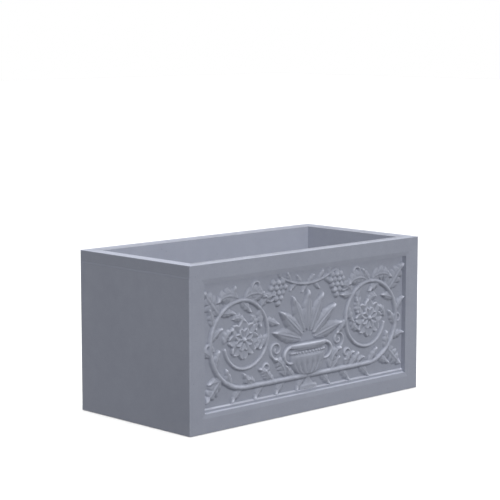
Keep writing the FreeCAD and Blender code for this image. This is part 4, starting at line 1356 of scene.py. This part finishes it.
# %% A bolt on every place of the solid model
def loose_parts(mesh):
    """The points of each separate solid in a mesh."""
    shape = bmesh.new()
    shape.from_mesh(mesh)
    bmesh.ops.remove_doubles(shape, verts=shape.verts, dist=1e-6)
    waiting, parts = set(shape.verts), []
    while waiting:
        edge_of_part, part = [waiting.pop()], []
        while edge_of_part:
            vertex = edge_of_part.pop()
            part.append(vertex.co[:])
            for edge in vertex.link_edges:
                other = edge.other_vert(vertex)
                if other in waiting:
                    waiting.remove(other)
                    edge_of_part.append(other)
        parts.append(np.array(part))
    shape.free()
    return parts


def bolt_place(points):
    """Where a bolt's head is seated, and the way that the head faces."""
    low, high = points.min(axis=0), points.max(axis=0)
    axis = int(np.argmax(high - low))
    others = [index for index in range(3) if index != axis]
    middle = (low + high) / 2
    girth = np.linalg.norm(points[:, others] - middle[others], axis=1)
    head_end = points[np.argmax(girth), axis] > middle[axis]
    facing = np.zeros(3)
    facing[axis] = 1 if head_end else -1
    seat = middle.copy()
    seat[axis] = (high if head_end else low)[axis] - facing[axis] * HEAD_HEIGHT
    return seat.tolist(), facing


bolting = new_tree("bolts_on_places", {"Bolt": "Object", "Finish": "Material"})
aimed = bolting.node("FunctionNodeAlignRotationToVector", {"axis": "Z"}, {
    "Vector": attribute(bolting, "facing", "FLOAT_VECTOR")})
close_tree(bolting, on_points(
    bolting, bolting.output("Geometry"), shape_of(bolting, "Bolt"), Rotation=aimed))

for group in ("bracket_bolts", "ledger_bolts"):
    seats, ways = zip(*(bolt_place(points) for points in loose_parts(nodes[group].data)))
    bolts = run_tree(f"hex_{group}", bolting, point_mesh(group, seats, facing=ways), {
        "Bolt": bolt, "Finish": FINISHES["bright_steel"]})
    new_piece(f"hex_{group}", bolts, "planter", [group])
    print(f"{len(seats)} {group}, {len(bolts.polygons)} faces")
bpy.data.objects.remove(bolt)

# %% [markdown]
# ## Bead of sealant
# Where the slab meets the walls a bead of sealant keeps the water in. It is squeezed from a tube
# and drawn with a wetted finger, so its face is hollow and its edges wander a little. A tree
# carries one section round the slab, and noise moves the toe of the bead in and out.

# %% Paths of the sealant
slab_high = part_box("base_slab")[1]
seal_low, seal_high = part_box("base_seal")
GAP = seal_high.x - slab_high.x
SEAL_RISE = 7 * MM
SEAL_TOE = 7 * MM
SEAL_SKIN = 0.6 * MM
SEAL_CORNER = 10 * MM
SEAL_STEP = 10 * MM
CORNER_POINTS = 7


def bead_section():
    """Section of the bead as (outwards, downwards) from the middle of the joint at the slab's top."""
    depth = seal_high.z - seal_low.z
    toe = -GAP / 2 - SEAL_TOE
    face = arc((toe, -SEAL_RISE), (GAP + SEAL_TOE, SEAL_RISE), (0, 90)).tolist()
    return [(GAP / 2, depth), *face, (toe, SEAL_SKIN), (-GAP / 2, SEAL_SKIN), (-GAP / 2, depth)]


def ring_path(half_x, half_y, corner, step):
    """An anticlockwise rectangle with rounded corners, in points about a step apart."""
    points = []
    for quarter, (side_x, side_y) in enumerate(((1, -1), (1, 1), (-1, 1), (-1, -1))):
        middle = (side_x * (half_x - corner), side_y * (half_y - corner))
        sweep = (90 * (quarter - 1), 90 * quarter)
        points += arc(middle, (corner, corner), sweep, CORNER_POINTS).tolist()
    dense = []
    for (x, y), (next_x, next_y) in zip(points, points[1:] + points[:1]):
        count = max(1, round(math.hypot(next_x - x, next_y - y) / step))
        dense += [(x + (next_x - x) * i / count, y + (next_y - y) * i / count) for i in range(count)]
    return dense


round_slab = ring_path(slab_high.x + GAP / 2, slab_high.y + GAP / 2, SEAL_CORNER, SEAL_STEP)
print(f"{len(round_slab)} points round the slab, gap {GAP / MM:.1f} mm")

# %% Sealant round the slab
WANDER = 0.5
WANDER_LENGTH = 50 * MM
SMOOTH_ANGLE = math.radians(40)

sealing = new_tree("bead_along_a_path", {"Section": "Object", "Wander": "Float", "Finish": "Material"})
drawn = noise(sealing.node("GeometryNodeInputPosition"), WANDER_LENGTH, detail=2.0)
close_tree(sealing, sealing.node("GeometryNodeCurveToMesh", sockets={
    "Curve": sealing.output("Geometry"), "Profile Curve": shape_of(sealing, "Section"),
    "Scale": 1 + (drawn - 0.5) * sealing.output("Wander")}))

section_curve = path_curve("bead_section", [[(out, down, 0) for out, down in bead_section()]])
bead_curve = path_curve("bead_path", [[(x, y, seal_high.z) for x, y in round_slab]])
for curve in (section_curve, bead_curve):
    curve.splines[0].use_cyclic_u = True
bead_curve.twist_mode = "Z_UP"
section_holder = bpy.data.objects.new("bead_section", section_curve)
bead_mesh = run_tree("sealant_bead", sealing, bead_curve, {
    "Section": section_holder, "Wander": WANDER, "Finish": FINISHES["black_rubber"]})
bpy.data.objects.remove(section_holder)
bead_mesh.shade_smooth()
bead_mesh.set_sharp_from_angle(angle=SMOOTH_ANGLE)
face_outwards(bead_mesh)
new_piece("sealant_bead", bead_mesh, "planter", ["base_seal"])
heights = [vertex.co.z for vertex in bead_mesh.vertices]
print(f"bead of {len(bead_mesh.polygons)} faces, from {min(heights):.4f} to {max(heights):.4f} m")
